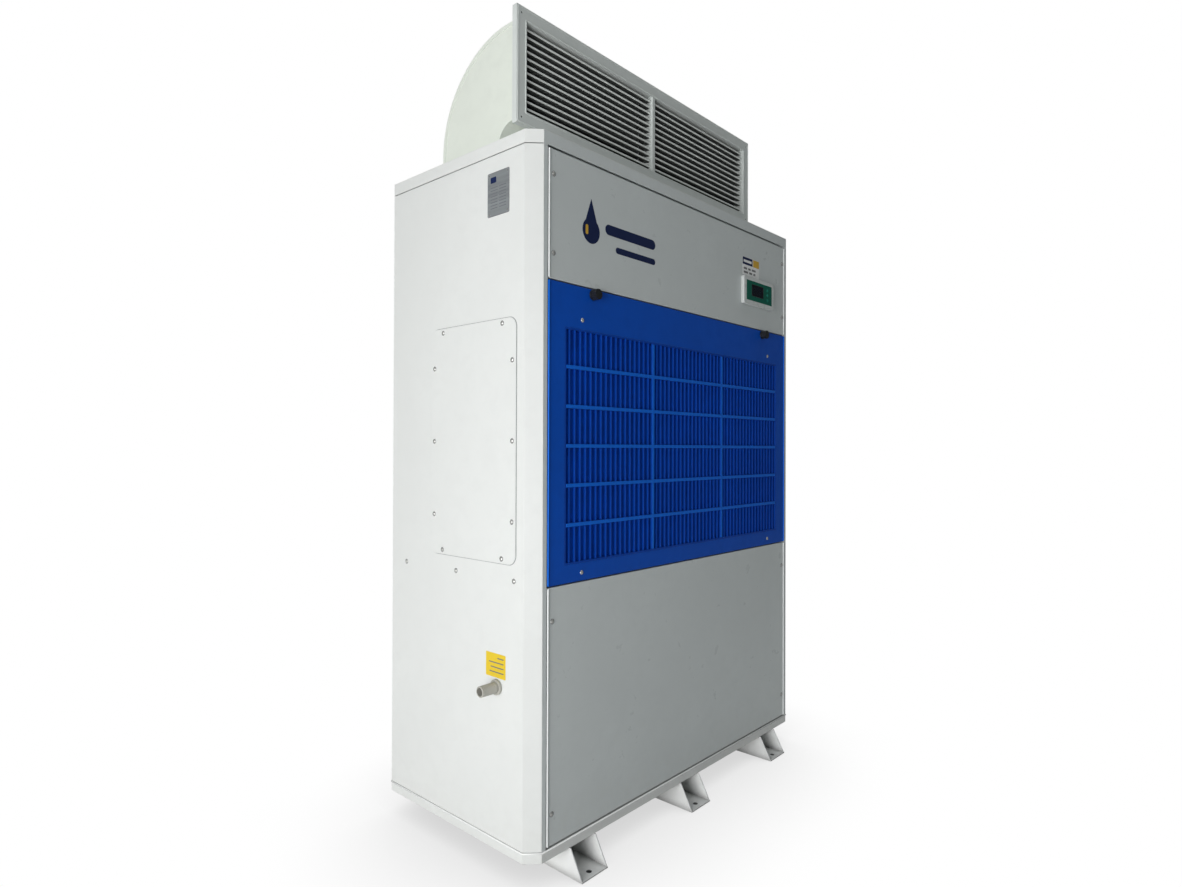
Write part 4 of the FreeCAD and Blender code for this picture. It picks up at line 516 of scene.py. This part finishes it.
def profile_strip(name, outer, inner, near, far, finish):
    """A strip between two side profiles of (y, z) points, from one distance across to another."""
    vertices = []
    for (outer_y, outer_z), (inner_y, inner_z) in zip(outer, inner):
        for x in (near, far):
            vertices.append((LEFT + x * MM, FRONT + outer_y * MM, BASE + outer_z * MM))
            vertices.append((LEFT + x * MM, FRONT + inner_y * MM, BASE + inner_z * MM))
    count = len(outer)
    faces = [(0, 1, 3, 2), (4 * count - 4, 4 * count - 2, 4 * count - 1, 4 * count - 3)]
    for step in range(count - 1):
        here, there = 4 * step, 4 * (step + 1)
        for first, second in ((0, 2), (2, 3), (3, 1), (1, 0)):
            faces.append((here + first, here + second, there + second, there + first))
    return add_piece(name, vertices, faces, CABINET, finish)


# ---------------------------------------------------------------- printed and formed details, painted highlights and painted shade

def control_sticker():
    """Small label over the controller: navy bar, amber square and a pale field, no lettering."""
    left, low, right, high = STICKER
    band_low, band_high = high - 24, high - 1
    plate("sticker_base", FRONT_FACE, *STICKER, 0.0, INK, "label_field", "white_plastic",
          radius=2)
    plate("sticker_bar", FRONT_FACE, left + 1, band_low, left + 62, band_high, INK, 2 * INK,
          "navy_ink", "black_plastic", radius=1)
    plate("sticker_square", FRONT_FACE, left + 66, band_low, right - 1, band_high, INK, 2 * INK,
          "amber_ink", "brass", radius=1)
    marks = []
    for row, widths in enumerate(((20, 14, 24), (26, 18, 12))):
        across = left + 8
        up = low + 19 - 12 * row
        for width in widths:
            marks.append((FRONT_FACE, rounded_outline(across, up, across + width, up + 6, 1),
                          INK, 2 * INK, 0.0))
            across += width + 8
    group("sticker_marks", marks, CABINET, "label_grey")
    light = rounded_outline(left + 7, high - 17, left + 56, high - 9, 1)
    group("sticker_light", [(FRONT_FACE, light, 2 * INK, 3 * INK, 0.0)], CABINET, "label_field")


def emblem():
    """A generic water drop over two plain bars, on the upper panel."""
    centre_across, centre_up, radius, tip = 190, 1464, 31, 78
    start, sweep, steps = -230, 280, 32
    drop = []
    for step in range(steps + 1):
        angle = math.radians(start + sweep * step / steps)
        drop.append((centre_across + radius * math.cos(angle),
                     centre_up + radius * math.sin(angle)))
    drop.append((centre_across, centre_up + tip))
    group("emblem_drop", [(FRONT_FACE, drop, 0.0, INK, 0.0)], CABINET, "navy_ink")
    shine = rounded_outline(centre_across - 20, centre_up - 11, centre_across - 11,
                            centre_up + 13, 4)
    group("emblem_shine", [(FRONT_FACE, shine, INK, 2 * INK, 0.0)], CABINET, "amber_ink")
    bars = [(FRONT_FACE, rounded_outline(*bar), 0.0, INK, 0.0)
            for bar in ((242, 1468, 446, 1494, 13), (282, 1428, 446, 1444, 8))]
    group("emblem_bars", bars, CABINET, "navy_ink")


def side_label():
    """Yellow label over the spout with plain dark bars."""
    left, _, _, high = DRAIN_LABEL
    plate("drain_label", LEFT_FACE, *DRAIN_LABEL, 0.0, INK, "yellow_label", "brass", radius=2)
    bars = []
    for row, width in enumerate((22, 52, 46, 50)):
        across, up = left + 7, high - 12 - row * 11
        bars.append((LEFT_FACE, rounded_outline(across, up, across + width, up + 2.6, 0.6),
                     INK, 2 * INK, 0.0))
    group("drain_label_marks", bars, CABINET, "label_grey")


def rating_details():
    """Rim, corner rivets and plain engraved lines on the nameplate."""
    left, low, right, high = NAMEPLATE
    skin = NAMEPLATE_SKIN
    rivets = [(LEFT_FACE, circle_outline(across, up, 2.2), skin, skin + 1.1, 0.6)
              for across in (left + 5, right - 5) for up in (low + 5, high - 5)]
    group("nameplate_rivets", rivets, CABINET, "zinc_screw")
    lines = []
    for row in range(8):
        up = high - 36 - row * 7
        for start, end in ((left + 10, left + 34), (left + 40, right - 10)):
            lines.append((LEFT_FACE, rounded_outline(start, up, end, up + 2, 0.6),
                          skin, skin + INK, 0.0))
    group("nameplate_lines", lines, CABINET, "label_line")
    plate("nameplate_patch", LEFT_FACE, right - 30, high - 24, right - 10, high - 10, skin,
          skin + INK, "navy_ink", "black_plastic", radius=2)
    margin = 0.4
    rim = [on_face(LEFT_FACE, across, up, 0.5) for across, up in
           rounded_outline(left - margin, low - margin, right + margin, high + margin, 3)]
    bead("nameplate_edge", rim, 0.7, "label_grey")


def display_details():
    """Rim round the display, its unlit segments and a ring round each key."""
    left, low, _, _ = DISPLAY
    rim = [on_face(FRONT_FACE, across, up, FACE_OUT)
           for across, up in rounded_outline(*DISPLAY, 2)]
    bead("display_rim", rim, 0.9, "black_moulding")
    stroke = 1.6
    segments = []
    for digit in range(3):
        across = left + 12 + digit * 18
        outlines = [rounded_outline(across, up, across + 9, up + stroke, 0.6)
                    for up in (low + 8, low + 17, low + 26)]
        outlines += [rounded_outline(side, up, side + stroke, up + 6.4, 0.6)
                     for side in (across - 1.8, across + 9.2) for up in (low + 10, low + 19)]
        segments += [(FRONT_FACE, outline, FACE_OUT - 0.4, FACE_OUT - 0.2, 0.0)
                     for outline in outlines]
    group("display_segments", segments, CABINET, "display_segment")
    for number in range(3):
        ring = [on_face(FRONT_FACE, across, up, FACE_OUT) for across, up in
                circle_outline(KEY_ACROSS, KEY_LOW + KEY_PITCH * number, 5.6, 28)]
        bead("key_ring_%d" % (number + 1), ring, 0.4, "key_cap")


def grille_beads():
    """Rolled bead round the discharge window and one just inside the frame's outer edge."""
    left, low, right, high = HOOD_FRAME
    for name, inset, radius in (("window_bead", 30.0, 1.6), ("frame_bead", 4.0, 1.3)):
        outline = rounded_outline(left + inset, low + inset, right - inset, high - inset, 3)
        points = [on_face(FRONT_FACE, across, up, -HOOD_FRONT) for across, up in outline]
        bead(name, points, radius, "grille_paint")
    corner = 16.5
    # Black discs sunk in the frame's corner holes: painted shade in the holes.
    holes = [(FRONT_FACE, circle_outline(across, up, 2.5), -HOOD_FRONT - 1.6, -HOOD_FRONT - 1.2,
              0.0)
             for across in (left + corner, right - corner) for up in (low + corner, high - corner)]
    group("frame_hole_shadows", holes, CABINET, "black_moulding")


def elbow_path(inset):
    """Points along the elbow's outer side profile in (y, z), in millimetres from the datum."""
    rear, radius, level = ELBOW_REAR - inset, ELBOW_RADIUS - inset, CAP_LEVEL + ELBOW_SPRING
    centre = ELBOW_REAR - ELBOW_RADIUS
    steps = 32
    points = [(rear, CAP_LEVEL), (rear, level)]
    for step in range(1, steps + 1):
        angle = math.radians(90.0 * step / steps)
        points.append((centre + radius * math.cos(angle), level + radius * math.sin(angle)))
    points.append((ELBOW_FRONT, level + radius))
    return points


def elbow_seams():
    """Folded seams along the elbow's curved edges and the riveted angle round its foot."""
    outer, inner = elbow_path(-1.3), elbow_path(9.0)
    for name, near, far in (("elbow_seam_left", 83.6, 85.0), ("elbow_seam_right", 1135.0, 1136.4)):
        profile_strip(name, outer, inner, near, far, "hood_paint")
    top_face = ((LEFT, FRONT, CAP), (1, 0, 0), (0, 1, 0), (0, 0, 1))
    strips = [(65, 451.7, 1155, 470), (65, 206, 1155, 219.8), (65, 219.8, 83.8, 451.7),
              (1136.2, 219.8, 1155, 451.7)]
    sheet = 1.5
    parts = [(top_face, rounded_outline(*strip, 0), 0.0, sheet, 0.0) for strip in strips]
    group("elbow_foot_angle", parts, CABINET, "hood_paint")
    spots = [(100 + step * 127.5, up) for step in range(9) for up in (461.0, 212.5)]
    spots += [(across, up) for across in (74.0, 1146.0) for up in (270.0, 335.0, 400.0)]
    rivets = [(top_face, circle_outline(across, up, 3.2, 14), sheet, 2 * sheet, 1.2)
              for across, up in spots]
    group("elbow_foot_rivets", rivets, CABINET, "zinc_screw")


def door_shade_seals():
    """Foam strips on the posts behind the edges of the front panels, black, partly as painted shade
    in the gaps.
    """
    parts = [(FRONT_FACE, rounded_outline(left, low, right, high, 0), -23.9, -22.2, 0.0)
             for left, right in POSTS for low, high in OPENINGS]
    group("door_shade_seals", parts, CABINET, "foam")


def elbow_shade_lining():
    """Black acoustic foam on the elbow's rear wall and roof and on its two ends, also painted shade
    for the elbow's unlit inside.
    """
    near, far, foam = 87.0, 1133.0, 2.5
    profile_strip("elbow_shade_lining_roof", elbow_path(1.6), elbow_path(6.0), near, far, "foam")
    throat = [(THROAT_CENTRE[0] + THROAT_RADIUS * math.sin(math.radians(15 * step)),
               THROAT_CENTRE[1] + THROAT_RADIUS * math.cos(math.radians(15 * step)))
              for step in range(7)]
    lowest = CAP_LEVEL + 4
    ends = elbow_path(6.6) + [(ELBOW_FRONT, 1755)] + throat + [(226, lowest)]
    ends = [(y, max(z, lowest)) for y, z in ends]
    parts = []
    for x in (near, far - foam):
        end_face = ((LEFT + x * MM, FRONT, BASE), (0, 1, 0), (0, 0, 1), (1, 0, 0))
        parts.append((end_face, ends, 0.0, foam, 0.0))
    group("elbow_shade_lining_ends", parts, CABINET, "foam")


def cover_shade_gasket():
    """Thin gasket that shows round the service cover's edge, dark grey, partly as a painted shadow
    line round the cover.
    """
    low_corner, high_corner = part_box("service_cover")
    edge, corner_radius = 1.4, 24
    outline = rounded_outline((low_corner[1] - FRONT) / MM - edge,
                              (low_corner[2] - BASE) / MM - edge,
                              (high_corner[1] - FRONT) / MM + edge,
                              (high_corner[2] - BASE) / MM + edge, corner_radius + edge, 8)
    group("cover_shade_gasket", [(LEFT_FACE, outline, 0.0, 0.7, 0.3)], CABINET, "gasket")


def plan_path(out):
    """Points (x, y) in metres round the cabinet's chamfered plan, moved outwards."""
    corner = CHAMFER_LEG + CHAMFER_GROWTH * out
    low, right, rear = -out, WIDTH + out, DEPTH + out
    points = [(low + corner, low), (right - corner, low), (right, low + corner),
              (right, rear - corner), (right - corner, rear), (low + corner, rear),
              (low, rear - corner), (low, low + corner)]
    return [(LEFT + x * MM, FRONT + y * MM) for x, y in points]


def rolled_edges():
    """Rolled bead along the tray's upper edge."""
    tray_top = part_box("base_frame")[1][2]
    rim = [(x, y, tray_top - 2.0 * MM) for x, y in plan_path(0.2)]
    # The bead's paint is lighter and glossier than the cabinet's: a painted highlight along the
    # tray's edge.
    bead("tray_bead", rim, 2.3, "highlight_bead")


def panel_rolls():
    """Rounded rolls up the two side edges of each front panel."""
    # The rolls' paints are lighter copies of the panels' paints: painted highlights up the edges.
    panels = (("upper_front_panel", CABINET, "front_highlight_bead", "grey_front"),
              ("lower_front_panel", CABINET, "front_highlight_bead", "grey_front"),
              ("filter_panel", DOOR, "blue_highlight_bead", "blue_panel"))
    end_gap = 2.0
    for node, body, finish, slot in panels:
        low_corner, high_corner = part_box(node)
        low = (low_corner[2] - BASE) / MM + end_gap
        high = (high_corner[2] - BASE) / MM - end_gap
        for side, across in ROLL_SIDES:
            ends = [on_face(FRONT_FACE, across, up, 0.3) for up in (low, high)]
            bead("%s_roll_%s" % (node, side), ends, 2.3, finish, body, closed=False)


def louvre_noses():
    """Rounded nose along the front edge of every blade."""
    for number in range(1, LOUVRE_ROWS + 1):
        low_corner, high_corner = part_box("louvre_row_%02d" % number)
        middle = (low_corner[2] + high_corner[2]) / 2
        nose = low_corner[1] + 1.6 * MM
        for side, start, end in LOUVRE_SPANS:
            ends = [(LEFT + across * MM, nose, middle) for across in (start, end)]
            bead("louvre_nose_%02d_%s" % (number, side), ends, 2.5, "lit_nose_paint",
                 "louvre_%02d" % number, closed=False)


def grille_caps():
    """Rounded caps on the grille's ribs and the blue cloth stretched over its back."""
    left, low, right, high = INLET_WINDOW
    half_rib, margin, sunk = 4.2, 6, -0.6
    parts = []
    for row in range(1, INLET_ROWS):
        up = low + (high - low) * row / INLET_ROWS
        outline = rounded_outline(left + margin, up - half_rib, right - margin, up + half_rib, 1.5)
        parts.append((FRONT_FACE, outline, sunk, 0.5, 0.6))
    for column in range(1, INLET_COLUMNS):
        across = left + (right - left) * column / INLET_COLUMNS
        outline = rounded_outline(across - half_rib, low + margin, across + half_rib,
                                  high - margin, 1.5)
        parts.append((FRONT_FACE, outline, sunk, 0.2, 0.4))
    # The caps' blue is lighter than the grille's: a painted highlight along the ribs.
    group("grille_rib_caps", parts, DOOR, "blue_highlight_bead")
    plate("prefilter_cloth", FRONT_FACE, left + 1, low + 1, right - 1, high - 1, -8.8, -8.3,
          "filter_mesh", "filter_medium", body=DOOR)


def screw_shade_washers():
    """A dark ring under each exposed screw head on the front panels and the left side, partly as
    painted shade round each head.
    """
    parts = [(FRONT_FACE, circle_outline(across, up, 6.6), 0.0, 0.5, 0.3)
             for across in (61.5, 1158.5) for up in (1385.0, 1567, 100.5, 540.0)]
    group("panel_shade_washers", parts, CABINET, "gasket")
    middle_across, middle_up = COVER_FRONT + COVER_DEPTH / 2, COVER_LOW + COVER_RISE / 2
    spots = [(middle_across + side * 149, middle_up + step * COVER_RISE * 0.326)
             for side in (-1, 1) for step in (-1, 0, 1)]
    spots += [(middle_across + side * COVER_DEPTH * 0.35, middle_up + end * 274)
              for side in (-1, 1) for end in (-1, 1)]
    radius = 6.3
    parts = [(LEFT_FACE, circle_outline(across, up, radius), 2.0, 2.4, 0.3)
             for across, up in spots]
    parts += [(LEFT_FACE, circle_outline(across, 632, radius), 0.0, 0.4, 0.2)
              for across in (63, 278, 492)]
    group("side_shade_washers", parts, CABINET, "label_grey")


def anchor_hole_shadows():
    """Black caps in the anchor holes at the ends of the feet, standing in as painted shadow in the
    holes.
    """
    floor_face = ((LEFT, FRONT, 0.0), (1, 0, 0), (0, 1, 0), (0, 0, 1))
    parts = []
    for foot in FEET:
        low_corner, high_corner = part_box(foot)
        across = ((low_corner[0] + high_corner[0]) / 2 - LEFT) / MM
        for along in (-22.0, 612.0):
            parts.append((floor_face, circle_outline(across, along, 6.6), 0.3, 1.6, 0.4))
    group("anchor_hole_shadows", parts, CABINET, "black_moulding")


# ---------------------------------------------------------------- floor, light and camera

FLOOR_REACH = 40.0
ROOM_COLOR, ROOM_STRENGTH = (0.93, 1.0, 1.0, 1), 0.13
# Each lamp as (name, place, aim, width, height, watts), in metres.
LAMPS = (
    ("window", (-3.9, -1.2, 0.6), (-0.6, -0.1, 0.6), 2.2, 2.2, 134.0),
    ("ceiling", (0.0, 0.0, 6.0), (0.0, 0.0, 0.0), 5.0, 5.0, 75.0),
    ("rear_fill", (3.6, 3.8, 2.4), (0.0, 0.3, 1.0), 3.0, 3.0, 150.0),
)
CAMERA_PLACE = (-1.7050, -1.4756, 1.0051)
CAMERA_TURN_DEGREES = (90.36, -0.18, -47.77)
SENSOR_WIDTH, LENS = 36.0, 22.07


def floor_material():
    """White to the eye with a soft contact shadow, and a plain matt floor to every other ray."""
    mat = surface("floor_paint", (0.62, 0.62, 0.61), 0.8, spread=0.01)
    tree = mat.node_tree
    out = tree.nodes["Material Output"]
    near = new_node(tree, "ShaderNodeAmbientOcclusion", {"Distance": 0.5}, samples=16)
    tone = remap(tree, near.outputs["AO"], 0.15, 0.92, 0.66, 1.0)
    glow = new_node(tree, "ShaderNodeEmission", {"Color": (1, 1, 1, 1), "Strength": tone})
    seen = tree.nodes.new("ShaderNodeLightPath").outputs["Is Camera Ray"]
    mixed = new_node(tree, "ShaderNodeMixShader", {
        0: seen, 1: tree.nodes["Principled BSDF"].outputs[0], 2: glow.outputs[0]})
    tree.links.new(mixed.outputs[0], out.inputs["Surface"])
    return mat


def stage():
    """A pale floor that runs out of sight."""
    mesh = bpy.data.meshes.new("floor")
    mesh.from_pydata([(-FLOOR_REACH, -FLOOR_REACH, 0), (FLOOR_REACH, -FLOOR_REACH, 0),
                      (FLOOR_REACH, FLOOR_REACH, 0), (-FLOOR_REACH, FLOOR_REACH, 0)],
                     [], [(0, 1, 2, 3)])
    floor = bpy.data.objects.new("floor", mesh)
    bpy.context.scene.collection.objects.link(floor)
    mesh.materials.append(floor_material())


def area_light(name, place, aim, width, height, power):
    """A soft rectangular light pointed at a spot."""
    lamp = bpy.data.lights.new(name, "AREA")
    lamp.shape = "RECTANGLE"
    lamp.size = width
    lamp.size_y = height
    lamp.energy = power
    obj = bpy.data.objects.new(name, lamp)
    bpy.context.scene.collection.objects.link(obj)
    obj.location = place
    direction = [a - b for a, b in zip(aim, place)]
    flat = math.hypot(direction[0], direction[1])
    obj.rotation_euler = (math.atan2(flat, -direction[2]), 0,
                          math.atan2(direction[1], direction[0]) - math.pi / 2)


def lighting():
    """Bright soft light from the left, dim room light elsewhere, and a white background."""
    world = bpy.data.worlds.new("studio")
    bpy.context.scene.world = world
    world.use_nodes = True
    tree = world.node_tree
    tree.nodes.clear()
    room = new_node(tree, "ShaderNodeBackground", {"Color": ROOM_COLOR, "Strength": ROOM_STRENGTH})
    white = new_node(tree, "ShaderNodeBackground", {"Color": (1, 1, 1, 1), "Strength": 1.0})
    seen = tree.nodes.new("ShaderNodeLightPath").outputs["Is Camera Ray"]
    mixed = new_node(tree, "ShaderNodeMixShader", {0: seen, 1: room.outputs[0],
                                                   2: white.outputs[0]})
    new_node(tree, "ShaderNodeOutputWorld", {"Surface": mixed.outputs[0]})
    for lamp in LAMPS:
        area_light(*lamp)


def camera():
    """The viewing angle: from the front left at chest height, nearly level."""
    lens = bpy.data.cameras.new("camera")
    lens.sensor_width = SENSOR_WIDTH
    lens.lens = LENS
    obj = bpy.data.objects.new("camera", lens)
    bpy.context.scene.collection.objects.link(obj)
    obj.location = CAMERA_PLACE
    obj.rotation_euler = [math.radians(angle) for angle in CAMERA_TURN_DEGREES]
    bpy.context.scene.camera = obj


finish_nodes()
control_sticker()
emblem()
side_label()
rating_details()
display_details()
grille_beads()
elbow_seams()
door_shade_seals()
elbow_shade_lining()
cover_shade_gasket()
rolled_edges()
louvre_noses()
panel_rolls()
grille_caps()
screw_shade_washers()
anchor_hole_shadows()
stage()
lighting()
camera()
bpy.context.scene.view_settings.view_transform = "Standard"
